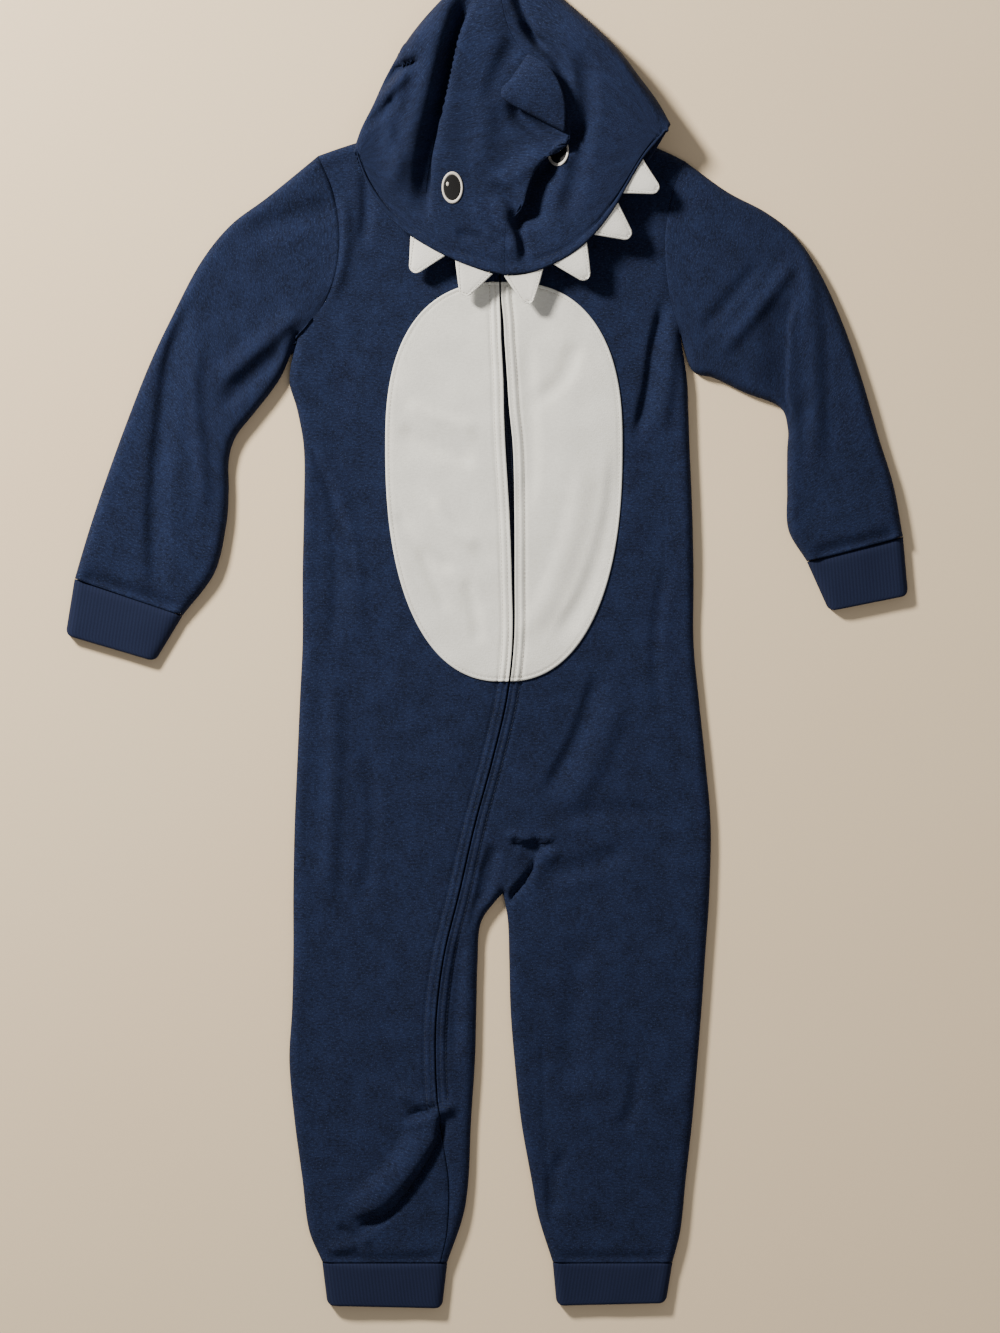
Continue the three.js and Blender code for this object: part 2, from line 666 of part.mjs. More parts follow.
const finish = (color, roughness, metalness = 0) =>
  new THREE.MeshStandardMaterial({ color, roughness, metalness });
const FINISHES = {
  navyFleece: finish(0x232e45, 0.95),
  navyRib: finish(0x21253a, 0.9),
  whiteFleece: finish(0xd0cec7, 0.95),
  toothFelt: finish(0xdddbd6, 0.95),
  eyeWhite: finish(0xe4e2dc, 0.8),
  eyeBlack: finish(0x0d0f14, 0.7),
  zipTape: finish(0x1a2338, 0.8),
  zipMetal: finish(0x6f747c, 0.4, 0.8),
};

const garment = new THREE.Group();
function addPiece(name, geometry, material) {
  const mesh = new THREE.Mesh(geometry, material.clone());
  mesh.name = name;
  garment.add(mesh);
  return mesh;
}

// Fronts

function bellyHalfWidth(y) {
  const up = y > BELLY_MIDDLE[1];
  const share = Math.abs(y - BELLY_MIDDLE[1]) / (up ? BELLY_UP : BELLY_DOWN);
  const power = up ? BELLY_TOP_POWER : BELLY_LOW_POWER;
  return BELLY_HALF_WIDTH * (1 - clamp(share, 0, 1) ** power) ** (1 / power);
}

const BELLY_TOP_Y = mix(ARMPIT_Y, NECK_FRONT[1], BELLY_TOP_SHARE);
const BELLY_COLUMNS = { right: 4, left: 8 };
const SIDE_COLUMNS = 4;
const FORK_COLUMN = 4;
const FORK_REACH = 110;

// x of the column that follows the belly's edge, and goes on below the belly
function bellyColumn(name, y) {
  const { sign } = SIDES[name];
  if (y >= BELLY_LOW_Y) return BELLY_MIDDLE[0] + sign * bellyHalfWidth(y);
  const low = BELLY_MIDDLE[0] + sign * bellyHalfWidth(BELLY_LOW_Y);
  const plain = mix(zipLine(y), bodySide[name](y), BELOW_BELLY.share);
  return mix(low, plain, smooth((BELLY_LOW_Y - y) / BELOW_BELLY.over));
}

// x of each column from the zip to the belly's edge
function innerColumns(name, y, zip, belly) {
  const { sign } = SIDES[name];
  const count = BELLY_COLUMNS[name];
  const placket = zip + sign * PLACKET;
  const plain = Array.from({ length: count + 1 }, (_, i) =>
    i === 0 ? zip : mix(placket, belly, (i - 1) / (count - 1)),
  );
  if (name === "right" || y > FORK_REACH) return { before: plain, after: plain };
  const blend = smooth(1 - y / FORK_REACH);
  const ends = y < 0 ? [inseam.right(y), inseam.left(y)] : [CROTCH[0], CROTCH[0]];
  const turn = Math.min(FRONT_ROUND, (ends[0] - placket) * FORK_TURN_LIMIT);
  const forked = (edge, side) => [
    zip,
    placket,
    ends[0] - turn,
    ends[0] - turn * PLAIN_TURN[1],
    edge,
    ends[1] + FRONT_ROUND * PLAIN_TURN[1],
    ends[1] + FRONT_ROUND,
    mix(ends[1] + FRONT_ROUND, belly, 0.5),
    side,
  ];
  const join = (edge) => forked(edge, belly).map((x, i) => mix(plain[i], x, blend));
  return { before: join(ends[0]), after: join(ends[1]) };
}

// Places across a front from the belly's edge to the side, as shares of the way
function sideShares(length, round) {
  const turn = Math.min(round, length * SIDE_TURN_LIMIT);
  const plain = Array.from({ length: SIDE_COLUMNS }, (_, i) => ((i + 1) / SIDE_COLUMNS) * (length - turn));
  const turned = [...FINE_TURN].reverse().slice(1).map((share) => length - turn * share);
  return [...plain, ...turned].map((place) => place / length);
}

function bodyRow(name, y) {
  const { sign } = SIDES[name];
  const zip = zipLine(y) + sign * zipOpening(y);
  const belly = bellyColumn(name, y);
  const edge = bodySide[name](y);
  const columns = innerColumns(name, y, zip, belly);
  const outer = sideShares(Math.abs(edge - belly), FRONT_ROUND).map((share) => mix(belly, edge, share));
  return { before: [...columns.before, ...outer], after: [...columns.after, ...outer] };
}

function yokeRow(name, share) {
  const side = SIDES[name];
  const y = mix(ARMPIT_Y, NECK_FRONT[1], share);
  const zip = [zipLine(y) + side.sign * zipOpening(y), y];
  const neckline = pathCurve(side.neckline);
  const shoulder = pathCurve(side.shoulder);
  const count = BELLY_COLUMNS[name];
  const topMiddle = neckline.at(NECK_COLUMNS.last);
  let middle = [bellyColumn(name, y), y];
  if (share > BELLY_TOP_SHARE) {
    const from = [bellyColumn(name, BELLY_TOP_Y), BELLY_TOP_Y];
    middle = mixPoint(from, topMiddle, (share - BELLY_TOP_SHARE) / (1 - BELLY_TOP_SHARE));
  }
  const end = armhole[name](share);
  const bulge = smooth((share - YOKE_BULGE_FROM) / (1 - YOKE_BULGE_FROM)) * share;
  const placket = [zip[0] + side.sign * PLACKET, y];
  const inner = Array.from({ length: count + 1 }, (_, i) => {
    const straight = i === 0 ? zip : mixPoint(placket, middle, (i - 1) / (count - 1));
    const topPlacket = [NECK_FRONT[0] + side.sign * (zipOpening(NECK_FRONT[1]) + PLACKET), NECK_FRONT[1]];
    const topLine = mixPoint(topPlacket, topMiddle, (i - 1) / (count - 1));
    if (i === 0) return straight;
    const top = neckline.at(mix(NECK_COLUMNS.placket, NECK_COLUMNS.last, (i - 1) / (count - 1)));
    return straight.map((value, axis) => value + bulge * (top[axis] - topLine[axis]));
  });
  const topEnd = armhole[name](1);
  const outer = sideShares(distance(middle, end), FRONT_ROUND).map((place, i, places) => {
    const topPlaces = sideShares(distance(topMiddle, topEnd), FRONT_ROUND);
    const shouldered = clamp((topPlaces[i] - topPlaces[0]) / (1 - topPlaces[0]), 0, 1);
    const top = i === places.length - 1 ? topEnd : shoulder.at(shouldered);
    const line = mixPoint(topMiddle, topEnd, topPlaces[i]);
    return mixPoint(middle, end, place).map((value, axis) => value + bulge * (top[axis] - line[axis]));
  });
  return [...inner, ...outer];
}

function frontGrid(name) {
  const grid = [];
  const slitPoints = [];
  for (const y of BODY_ROWS) {
    const { before, after } = bodyRow(name, y);
    const last = before.length - 1;
    const forked = name === "left" && y < 0;
    const atFork = name === "left" && y === 0;
    const row = before.map((x, column) => {
      if (column === last) return frontPoint(x, y, [SIDES[name].sign, 0]);
      if (column === FORK_COLUMN && forked) return frontPoint(x, y, [1, 0]);
      if (column === FORK_COLUMN && atFork) return frontPoint(x, y, [0, -1]);
      return frontPoint(x, y);
    });
    // The cloth is cut square where the ankle cuff meets it
    grid.push(y === ANKLE_SEAM_Y ? row.map((point) => squared(point, [0, 1])) : row);
    if (forked) slitPoints.push(frontPoint(after[FORK_COLUMN], y, [-1, 0]));
  }
  const shoulderColumn = BELLY_COLUMNS[name] + 1;
  for (const share of YOKE_SHARES) {
    const row = yokeRow(name, share);
    const out = [SIDES[name].sign * SHOULDER_LEAN, 1];
    grid.push(row.map(([x, y], column) => frontPoint(x, y, share === 1 && column >= shoulderColumn ? out : null)));
  }
  return { grid, slitPoints };
}

function buildFront(name) {
  const { grid, slitPoints } = frontGrid(name);
  let slit = null;
  if (slitPoints.length) {
    const points = slitPoints.map((point) => ({ outer: point.at, inner: inward(point, WALL) }));
    slit = { column: FORK_COLUMN, row: slitPoints.length, points };
  }
  addPiece(`front_${name}`, clothWall(grid, WALL, { slit }), FINISHES.navyFleece);
  return grid;
}

// White belly on each front: the front's own points, moved out
function buildBelly(name, grid) {
  const from = BODY_ROWS.indexOf(BELLY_LOW_Y);
  const to = BODY_ROWS.length + YOKE_SHARES.indexOf(BELLY_TOP_SHARE);
  const columns = BELLY_COLUMNS[name] + 1;
  const lifted = grid.slice(from, to + 1).map((row) =>
    row.slice(0, columns).map((point) => ({ at: inward(point, -SEAM_GAP - BELLY_WALL), out: point.out })),
  );
  addPiece(`belly_${name}`, clothWall(lifted, BELLY_WALL), FINISHES.whiteFleece);
}

// Zip tape under the two fronts' free edges
function buildZipTape(rightGrid, leftGrid) {
  const from = BODY_ROWS.indexOf(ZIP_END_Y);
  const strip = rightGrid.slice(from).map((rightRow, i) => {
    const leftRow = leftGrid[from + i];
    return [rightRow[1], rightRow[0], leftRow[0], leftRow[1]].map((point) => ({
      at: inward(point, WALL + SEAM_GAP),
      out: point.out,
    }));
  });
  addPiece("zip_tape", clothWall(strip, TAPE_WALL), FINISHES.zipTape);
}

// Backs, which lie flat

const NEAR_CROTCH = 20;
const BACK_ROWS = BODY_ROWS.filter((y, i) => i % 2 === 0 || Math.abs(y) < NEAR_CROTCH);
const BACK_PLAIN = 6;
const BACK_NECK_COLUMN = 5;

// Places from the middle of the back to its side, as shares of the way
function backShares(length) {
  const turn = BACK_ROUND;
  const inner = PLAIN_TURN.map((share) => share * turn);
  const outer = [...PLAIN_TURN].reverse().map((share) => length - share * turn);
  const plain = Array.from({ length: BACK_PLAIN - 1 }, (_, i) =>
    mix(turn, length - turn, (i + 1) / BACK_PLAIN),
  );
  return [...inner, ...plain, ...outer].map((place) => place / length);
}

function buildBack(name) {
  const side = SIDES[name];
  const grid = [];
  const middleOf = (y) => mix(CROTCH[0], NECK_BACK[0], clamp(y / NECK_BACK[1], 0, 1));
  for (const y of BACK_ROWS) {
    const middle = y < 0 ? inseam[name](y) : middleOf(y) + (side.sign * SEAM_GAP) / 2;
    const edge = bodySide[name](y);
    const shares = backShares(Math.abs(edge - middle));
    grid.push(
      shares.map((share, column) => {
        const x = mix(middle, edge, share);
        if (column === shares.length - 1) return backPoint(x, y, [side.sign, 0]);
        if (column === 0 && y < 0) return backPoint(x, y, [-side.sign, 0]);
        if (column === 0 && y === 0) return backPoint(x, y, [0, -1]);
        return backPoint(x, y);
      }),
    );
  }
  const shoulder = pathCurve(side.shoulder);
  const topEnd = armhole[name](1);
  const topMiddle = [NECK_BACK[0] + (side.sign * SEAM_GAP) / 2, NECK_BACK[1]];
  const topShares = backShares(distance(topMiddle, topEnd));
  const firstPlain = PLAIN_TURN.length;
  for (const share of YOKE_SHARES) {
    const y = mix(ARMPIT_Y, NECK_BACK[1], share);
    const middle = [middleOf(y) + (side.sign * SEAM_GAP) / 2, y];
    const end = armhole[name](share);
    const bulge = smooth((share - YOKE_BULGE_FROM) / (1 - YOKE_BULGE_FROM)) * share;
    const shares = backShares(distance(middle, end));
    grid.push(
      shares.map((place, column) => {
        const along = topShares[column];
        const onShoulderShare = (along - topShares[BACK_NECK_COLUMN]) / (1 - topShares[BACK_NECK_COLUMN]);
        let top = shoulder.at(clamp(onShoulderShare, 0, 1));
        if (column < firstPlain) top = backNeckline[name](along);
        else if (column <= BACK_NECK_COLUMN) top = backNeckline[name]((column - firstPlain + 1) / BACK_NECK_BENDS);
        if (column === 0) top = topMiddle;
        if (column === shares.length - 1) top = topEnd;
        const line = mixPoint(topMiddle, topEnd, along);
        const [x, rowY] = mixPoint(middle, end, place).map((v, axis) => v + bulge * (top[axis] - line[axis]));
        const onShoulder = share === 1 && column >= BACK_NECK_COLUMN;
        return backPoint(x, rowY, onShoulder ? [side.sign * SHOULDER_LEAN, 1] : null);
      }),
    );
  }
  addPiece(`back_${name}`, clothWall(grid, WALL), FINISHES.navyFleece);
}

// Sleeves and cuffs: flat tubes

// Shares across a tube for its top cloth and for its underside
function tubeShares(length) {
  const turns = (round, shares) => shares.map((share) => (share * round) / length);
  const top = turns(Math.min(FRONT_ROUND, length * TUBE_TURN_LIMIT), FINE_TURN);
  const under = turns(BACK_ROUND, PLAIN_TURN).slice(1);
  return {
    top: [...top, ...TUBE_TOP_SHARES, ...top.map((share) => 1 - share).reverse()],
    under: [...under.map((share) => 1 - share), ...TUBE_UNDER_SHARES, ...[...under].reverse()],
  };
}

// One ring of a tube between its two ends, with an optional bend in plan
function tubeRing(outer, inner, along, base, bendAt = () => [0, 0], shoulderOut = null) {
  const shares = tubeShares(distance(outer, inner));
  const place = (share) => {
    const bend = bendAt(share);
    return mixPoint(outer, inner, share).map((value, axis) => value + bend[axis]);
  };
  const side = unit([along[1], -along[0]]);
  const facing = side[0] * (outer[0] - inner[0]) + side[1] * (outer[1] - inner[1]) > 0 ? 1 : -1;
  const outward = side.map((value) => value * facing);
  const onSide = ([x, y], out) => ({ at: [x, y, EDGE_HEIGHT], out: [...out, 0] });
  const top = shares.top.map((share) => {
    if (share === 0) return onSide(place(0), shoulderOut ?? outward);
    if (share === 1) return onSide(place(1), outward.map((value) => -value));
    return frontPoint(...place(share), null, base);
  });
  return [...top, ...shares.under.map((share) => backPoint(...place(share)))];
}

function buildSleeve(name) {
  const { sign } = SIDES[name];
  const nearShare = 0.04;
  const rings = [];
  for (let i = 0; i <= SLEEVE_STEPS; i += 1) {
    const share = i / SLEEVE_STEPS;
    const ends = [0, 1].map((end) => sleevePath[name](end, share));
    const ahead = [0, 1].map((end) => sleevePath[name](end, Math.min(share + nearShare, 1)));
    const behind = [0, 1].map((end) => sleevePath[name](end, Math.max(share - nearShare, 0)));
    const along = unit([0, 1].map((axis) => ahead[0][axis] + ahead[1][axis] - behind[0][axis] - behind[1][axis]));
    const fade = Math.max(0, 1 - share / ARMHOLE_REACH) ** 2;
    const parting = i === 0 ? SLEEVE_PARTING : 0;
    const bendAt = (across) => {
      const hole = armhole[name](1 - across);
      const line = mixPoint(sleevePath[name](0, 0), sleevePath[name](1, 0), across);
      return [fade * (hole[0] - line[0]) + sign * parting, fade * (hole[1] - line[1])];
    };
    const shoulderOut = i === 0 ? unit([sign * SHOULDER_LEAN, 1]) : null;
    const ring = tubeRing(ends[0], ends[1], along, null, bendAt, shoulderOut);
    rings.push(i === SLEEVE_STEPS ? ring.map((point) => squared(point, along)) : ring);
  }
  addPiece(`sleeve_${name}`, clothWall(rings, WALL, { closed: true }), FINISHES.navyFleece);
}

function buildCuff(name, cuff) {
  const middles = [cuff.from, cuff.to].map((ends) => mixPoint(ends[0], ends[1], 0.5));
  const along = unit([middles[1][0] - middles[0][0], middles[1][1] - middles[0][1]]);
  const rings = Array.from({ length: CUFF_STEPS + 1 }, (_, i) => {
    const share = i / CUFF_STEPS;
    const start = cuff.from.map((end) => end.map((value, axis) => value + along[axis] * SEAM_GAP * 1.5));
    const outer = mixPoint(start[0], cuff.to[0], share);
    const inner = mixPoint(start[1], cuff.to[1], share);
    return tubeRing(outer, inner, along, CUFF_TOP).map((point) => squared(point, along));
  });
  addPiece(name, clothWall(rings, WALL, { closed: true }), FINISHES.navyRib);
}

// Hood

const hoodShare = {
  hem: tableCurve(HOOD_LINES, "line", "hem"),
  side: tableCurve(HOOD_LINES, "line", "side"),
  neck: tableCurve(HOOD_LINES, "line", "neck"),
};
const shoulderPath = {
  right: samples(pathCurve(SIDES.right.shoulder), SHOULDER_SAMPLES),
  left: samples(pathCurve(SIDES.left.shoulder), SHOULDER_SAMPLES),
};

// Where the hood's under layer lies: over the chest, and down to the surface beyond the shoulder
function hoodRest(name, x, y, line) {
  const shoulder = shoulderPath[name];
  const near = nearestOn(shoulder, x, y);
  const beyondNeck = line >= 0.5;
  const wideOfNeck = Math.abs(x) > Math.abs(shoulder[0][0]);
  const overChest = beyondNeck && (!wideOfNeck || near.side * SIDES[name].sign < 0);
  const ramp = beyondNeck ? HOOD_RAMP.shoulder : HOOD_RAMP.neck;
  const low = overChest ? HOOD_OVER_CHEST : HOOD_OVER_CHEST * (1 - smooth((near.distance - ramp.from) / ramp.length));
  const lift = HOOD_CORNER_LIFT[name] * smooth((line - 0.5) / 0.5);
  return { low, lift };
}

function hoodTop(x, y) {
  const { right, left, crown } = HOOD_SLOPES;
  let top = HOOD_MIDDLE;
  top = mix(top, right.height, smooth((-x - right.from) / right.over));
  top = mix(top, left.height, smooth((x - left.from) / left.over));
  top = mix(top, crown.height, smooth((y - crown.from) / crown.over));
  return top + foldHeight(HOOD_FOLDS, x, y);
}

// One line of the hood: open edge, over the folded side, back to the neck seam
function hoodLine(name, line) {
  const side = SIDES[name];
  const hem = pathCurve(HOOD[name].hem).at(hoodShare.hem(line));
  const fold = pathCurve(HOOD[name].side).at(hoodShare.side(line));
  const neckShare = hoodShare.neck(line);
  let neck;
  if (neckShare < 1) neck = backNeckline[name](neckShare);
  else neck = pathCurve([...side.neckline].reverse()).at(neckShare - 1);
  if (neckShare < 1) neck = [neck[0], neck[1] + HOOD_NECK_GAP];
  if (Math.abs(neck[0]) < CHIN_GAP && line > 0.5) neck = [side.sign * CHIN_GAP, neck[1]];
  const frontLength = distance(hem, fold);
  const round = Math.min(HOOD_ROUND, frontLength * HOOD_TURN_LIMIT);
  const foldRest = hoodRest(name, fold[0], fold[1], line);
  const foldLow = foldRest.low + foldRest.lift;
  const middle = foldLow + HOOD_FOLD_HALF;
  const frontPlaces = [
    ...FINE_TURN.slice(0, 3).map((share) => share * round),
    ...Array.from({ length: HOOD_FRONT_STEPS + 1 }, (_, i) => mix(round, frontLength, i / HOOD_FRONT_STEPS)),
  ];
  const front = frontPlaces.map((place) => {
    const [plainX, y] = mixPoint(fold, hem, place / frontLength);
    const swing = SEAM_SWING.by * Math.exp(-(((y - SEAM_SWING.at) / SEAM_SWING.reach) ** 2));
    const held = smooth(place / SEAM_SWING.from) * smooth((frontLength - place) / SEAM_SWING.from);
    const x = plainX + swing * (1 - line) ** SEAM_SWING.power * held;
    const under = hoodRest(name, x, y, line);
    const rest = y < HOOD_CHEST_Y ? Math.max(under.low, HOOD_OVER_CHEST) : under.low;
    const least = rest + 2 * WALL + HOOD_CLEAR;
    const top = Math.max(hoodTop(x, y), least, middle + 1);
    return [x, y, mix(middle, top, rise(place / round))];
  });
  const backLength = distance(fold, neck);
  const backRound = Math.min(HOOD_BACK_ROUND, backLength * TUBE_TURN_LIMIT);
  const backPlaces = [
    PLAIN_TURN[1] * backRound,
    ...Array.from({ length: HOOD_BACK_STEPS + 1 }, (_, i) => mix(backRound, backLength, i / HOOD_BACK_STEPS)),
  ];
  const back = backPlaces.map((place) => {
    const [plainX, plainY] = mixPoint(fold, neck, place / backLength);
    const bulge = CHEEK_BULGE * clamp((line - 0.5) * 2, 0, 1) * Math.sin((Math.PI * place) / backLength);
    const x = plainX + side.sign * bulge * CHEEK_OUT[0];
    const y = plainY + bulge * CHEEK_OUT[1];
    const under = hoodRest(name, x, y, line);
    const low = under.low + under.lift * smooth(1 - place / (CORNER_LIFT_REACH * backLength));
    return [x, y, mix(middle, low, rise(place / backRound))];
  });
  return [...front.reverse(), ...back];
}

// Outward directions of a grid of points, from their neighbours
function gridDirections(points, facing) {
  const last = points.length - 1;
  return points.map((row, i) =>
    row.map((at, j) => {
      const end = row.length - 1;
      const a = new THREE.Vector3(...points[Math.min(i + 1, last)][j]);
      a.sub(new THREE.Vector3(...points[Math.max(i - 1, 0)][j]));
      const b = new THREE.Vector3(...row[Math.min(j + 1, end)]);
      b.sub(new THREE.Vector3(...row[Math.max(j - 1, 0)]));
      const out = a.clone().cross(b).normalize().multiplyScalar(facing).toArray();
      return { at, out, across: a.normalize().toArray(), along: b.normalize().toArray() };
    }),
  );
}

function buildHood() {
  const lines = [];
  for (let i = -HOOD_LINE_COUNT; i <= HOOD_LINE_COUNT; i += 1) {
    const share = Math.abs(i) / HOOD_LINE_COUNT;
    lines.push(hoodLine(i < 0 ? "right" : "left", share));
  }
  const middle = HOOD_LINE_COUNT;
  // The wall is cut square at the middle seam and along the open edge
  const grid = gridDirections(lines, 1).map((row, i) =>
    row.map((point, j) => {
      const { at, across, along } = point;
      if (i === middle) return { ...squared(point, across), at };
      return j === 0 ? { ...squared(point, along), at } : point;
    }),
  );
  const parted = (name) => {
    const half = name === "right" ? grid.slice(0, middle + 1) : grid.slice(middle);
    const seam = name === "right" ? half.length - 1 : 0;
    const beside = name === "right" ? seam - 1 : 1;
    return half.map((row, i) => {
      if (i !== seam) return row;
      return row.map((point, j) => {
        const step = unit(half[beside][j].at.map((value, axis) => value - point.at[axis]));
        return { at: point.at.map((value, axis) => value + step[axis] * HOOD_PARTING), out: point.out };
      });
    });
  };
  const halves = { right: parted("right"), left: parted("left") };
  for (const name of ["right", "left"]) {
    addPiece(`hood_${name}`, clothWall(halves[name], WALL), FINISHES.navyFleece);
  }
  return grid;
}

// Height of the hood's faceted top cloth at a place
function hoodSurface(grid, x, y) {
  const frontColumns = FINE_TURN.length - 1 + HOOD_FRONT_STEPS + 1;
  let best = -Infinity;
  const test = (a, b, c) => {
    const area = (b[0] - a[0]) * (c[1] - a[1]) - (b[1] - a[1]) * (c[0] - a[0]);
    if (Math.abs(area) < 1e-9) return;
    const u = ((x - a[0]) * (c[1] - a[1]) - (y - a[1]) * (c[0] - a[0])) / area;
    const v = ((b[0] - a[0]) * (y - a[1]) - (b[1] - a[1]) * (x - a[0])) / area;
    if (u < 0 || v < 0 || u + v > 1) return;
    best = Math.max(best, a[2] + u * (b[2] - a[2]) + v * (c[2] - a[2]));
  };
  for (let i = 0; i + 1 < grid.length; i += 1) {
    for (let j = 0; j + 1 < frontColumns; j += 1) {
      const [a, b, c, d] = [grid[i][j].at, grid[i][j + 1].at, grid[i + 1][j + 1].at, grid[i + 1][j].at];
      test(a, b, c);
      test(a, c, d);
    }
  }
  return best;
}

// The highest of that surface within a small reach of a place
function hoodSurfaceAround(grid, x, y, reach) {
  let best = hoodSurface(grid, x, y);
  for (let i = 0; i < 8; i += 1) {
    const angle = (i * Math.PI) / 4;
    best = Math.max(best, hoodSurface(grid, x + reach * Math.cos(angle), y + reach * Math.sin(angle)));
  }
  return best;
}

function buildFin(grid) {
  const root = pathCurve(FIN_ROOT);
  const tip = pathCurve(FIN_TIP);
  const bottom = [];
  const top = [];
  for (let i = 0; i <= FIN.steps; i += 1) {
    const along = i / FIN.steps;
    const bottomRow = [];
    const topRow = [];
    for (let j = 0; j <= FIN.across; j += 1) {
      const out = j / FIN.across;
      const [x, y] = mixPoint(root.at(along), tip.at(along), out);
      const full = Math.sin(Math.PI * along) * Math.sin(Math.PI * mix(FIN.rootShare, 1, out));
      const rest = hoodSurfaceAround(grid, x, y, FIN.reach) + SEAM_GAP;
      const low = rest + FIN.lift * Math.sin((out * Math.PI) / 2);
      bottomRow.push([x, y, low]);
      topRow.push([x, y, low + FIN.rim + FIN.thick * full]);
    }
    bottom.push(bottomRow);
    top.push(topRow);
  }
  addPiece("fin", wallGeometry(top, bottom), FINISHES.navyFleece);
}

// Teeth along the open edge. The first ones are folded under it.
function buildTeeth() {
  const points = [...[...HOOD.right.hem].reverse(), ...HOOD.left.hem.slice(1)];
  const edge = pathCurve(points);
  const middle = pathCurve(HOOD.right.hem).length;
  TEETH.forEach((from, i) => {
    const tucked = i < TUCKED_TEETH;
    const nearShare = 0.004;
    const at = (distanceAlong) => {
      const share = clamp((middle + distanceAlong) / edge.length, nearShare, 1 - nearShare);
      const place = edge.at(share);
      const ahead = edge.at(share + nearShare);
      const behind = edge.at(share - nearShare);
      const along = unit([ahead[0] - behind[0], ahead[1] - behind[1]]);
      return { place, out: [along[1], -along[0]] };
    };
    const here = at(from);
    const outer = [];
    const inner = [];
    for (const { out: length, half } of TOOTH_PROFILE) {
      const outerRow = [];
      const innerRow = [];
      for (let k = 0; k <= TOOTH.across; k += 1) {
        const across = mix(-1, 1, k / TOOTH.across);
        const base = at(from + (across * TOOTH.base) / 2);
        const tipAt = here.place.map((v, axis) => v + here.out[axis] * TOOTH.length);
        const side = [-here.out[1], here.out[0]];
        const straight = mixPoint(here.place, tipAt, length).map((v, axis) => v + side[axis] * across * half);
        const rooted = base.place.map((v, axis) => v + base.out[axis] * TOOTH_GAP);
        let place = mixPoint(rooted, straight, smooth(length * TOOTH_STRAIGHT_BY));
        let top = hoodTop(...base.place) - TOOTH.sink - TOOTH.droop * length;
        if (tucked) {
          const inside = TUCKED_IN + TOOTH.length * length;
          place = base.place.map((v, axis) => v - base.out[axis] * inside);
          const narrow = mix(1, TUCKED_TIP_SHARE, length);
          const axisPlace = here.place.map((v, axis) => v - here.out[axis] * inside);
          place = mixPoint(axisPlace, place, narrow);
          top = HOOD_OVER_CHEST + WALL + TUCKED_RISE + TOOTH.thick;
        }
        outerRow.push([...place, top]);
        innerRow.push([...place, top - TOOTH.thick]);
      }
      outer.push(outerRow);
      inner.push(innerRow);
    }
    addPiece(`tooth_${i + 1}`, wallGeometry(outer, inner), FINISHES.toothFelt);
  });
}

// A flat oval patch whose underside follows the cloth below it
function ovalPatch(middle, half, rings, heightAt, thick) {
  const outer = rings.map((ring) =>
    Array.from({ length: EYE.around }, (_, i) => {
      const angle = (2 * Math.PI * i) / EYE.around;
      const x = middle[0] + half[0] * ring * Math.cos(angle);
      const y = middle[1] + half[1] * ring * Math.sin(angle);
      return [x, y, heightAt(x, y) + thick];
    }),
  );
  const points = [...outer.flat(), ...outer.flat().map(([x, y, z]) => [x, y, z - thick])];
  const count = EYE.around;
  const lower = outer.length * count;
  const faces = [];
  for (let ring = 0; ring + 1 < rings.length; ring += 1) {
    for (let i = 0; i < count; i += 1) {
      const next = (i + 1) % count;
      const [a, b] = [ring * count + i, ring * count + next];
      const [c, d] = [a + count, b + count];
      faces.push([a, b, d], [a, d, c], [lower + a, lower + d, lower + b], [lower + a, lower + c, lower + d]);
    }
  }
  const lastRing = (rings.length - 1) * count;
  const centre = points.length;
  const middleTop = heightAt(...middle) + thick;
  points.push([...middle, middleTop], [...middle, middleTop - thick]);
  for (let i = 0; i < count; i += 1) {
    const next = (i + 1) % count;
    faces.push([lastRing + i, lastRing + next, centre]);
    faces.push([lower + lastRing + next, lower + lastRing + i, centre + 1]);
    faces.push([i, lower + i, next], [next, lower + i, lower + next]);
  }
  return bodyGeometry(points, faces);
}

function buildEyes(grid) {
  for (const [name, middle] of Object.entries(EYES)) {
    const rest = (x, y) => hoodSurfaceAround(grid, x, y, EYE.reach) + SEAM_GAP;
    const over = (x, y) => rest(x, y) + EYE.white + SEAM_GAP;
    addPiece(`eye_${name}`, ovalPatch(middle, EYE.half, EYE_RINGS, rest, EYE.white), FINISHES.eyeWhite);
    addPiece(`pupil_${name}`, ovalPatch(middle, EYE.half, PUPIL_RINGS, over, EYE.pupil), FINISHES.eyeBlack);
  }
}

// Slider on the zip's top end, with its tab lying down over the fronts
function roundedPlate(width, length, height, corner) {
  const shape = new THREE.Shape();
  const x = width / 2;
  const y = length / 2;
  shape.moveTo(-x + corner, -y);
  shape.lineTo(x - corner, -y);
  shape.absarc(x - corner, -y + corner, corner, -Math.PI / 2, 0);
  shape.absarc(x - corner, y - corner, corner, 0, Math.PI / 2);
  shape.absarc(-x + corner, y - corner, corner, Math.PI / 2, Math.PI);
  shape.absarc(-x + corner, -y + corner, corner, Math.PI, 1.5 * Math.PI);
  return new THREE.ExtrudeGeometry(shape, { depth: height, bevelEnabled: false, curveSegments: 4 });
}

function buildSlider() {
  const tapeTop = BODY_TOP - WALL - SEAM_GAP;
  const body = roundedPlate(SLIDER.width, SLIDER.length, SLIDER.height, SLIDER.corner);
  body.translate(0, SLIDER.y, tapeTop + SEAM_GAP);
  addPiece("zip_slider", body, FINISHES.zipMetal);
  const tab = roundedPlate(TAB.width, TAB.length, TAB.height, TAB.corner);
  tab.translate(0, SLIDER.y - SLIDER.length / 2 - TAB.length / 2 - SEAM_GAP, BODY_TOP + SEAM_GAP);
  addPiece("zip_tab", tab, FINISHES.zipMetal);
}

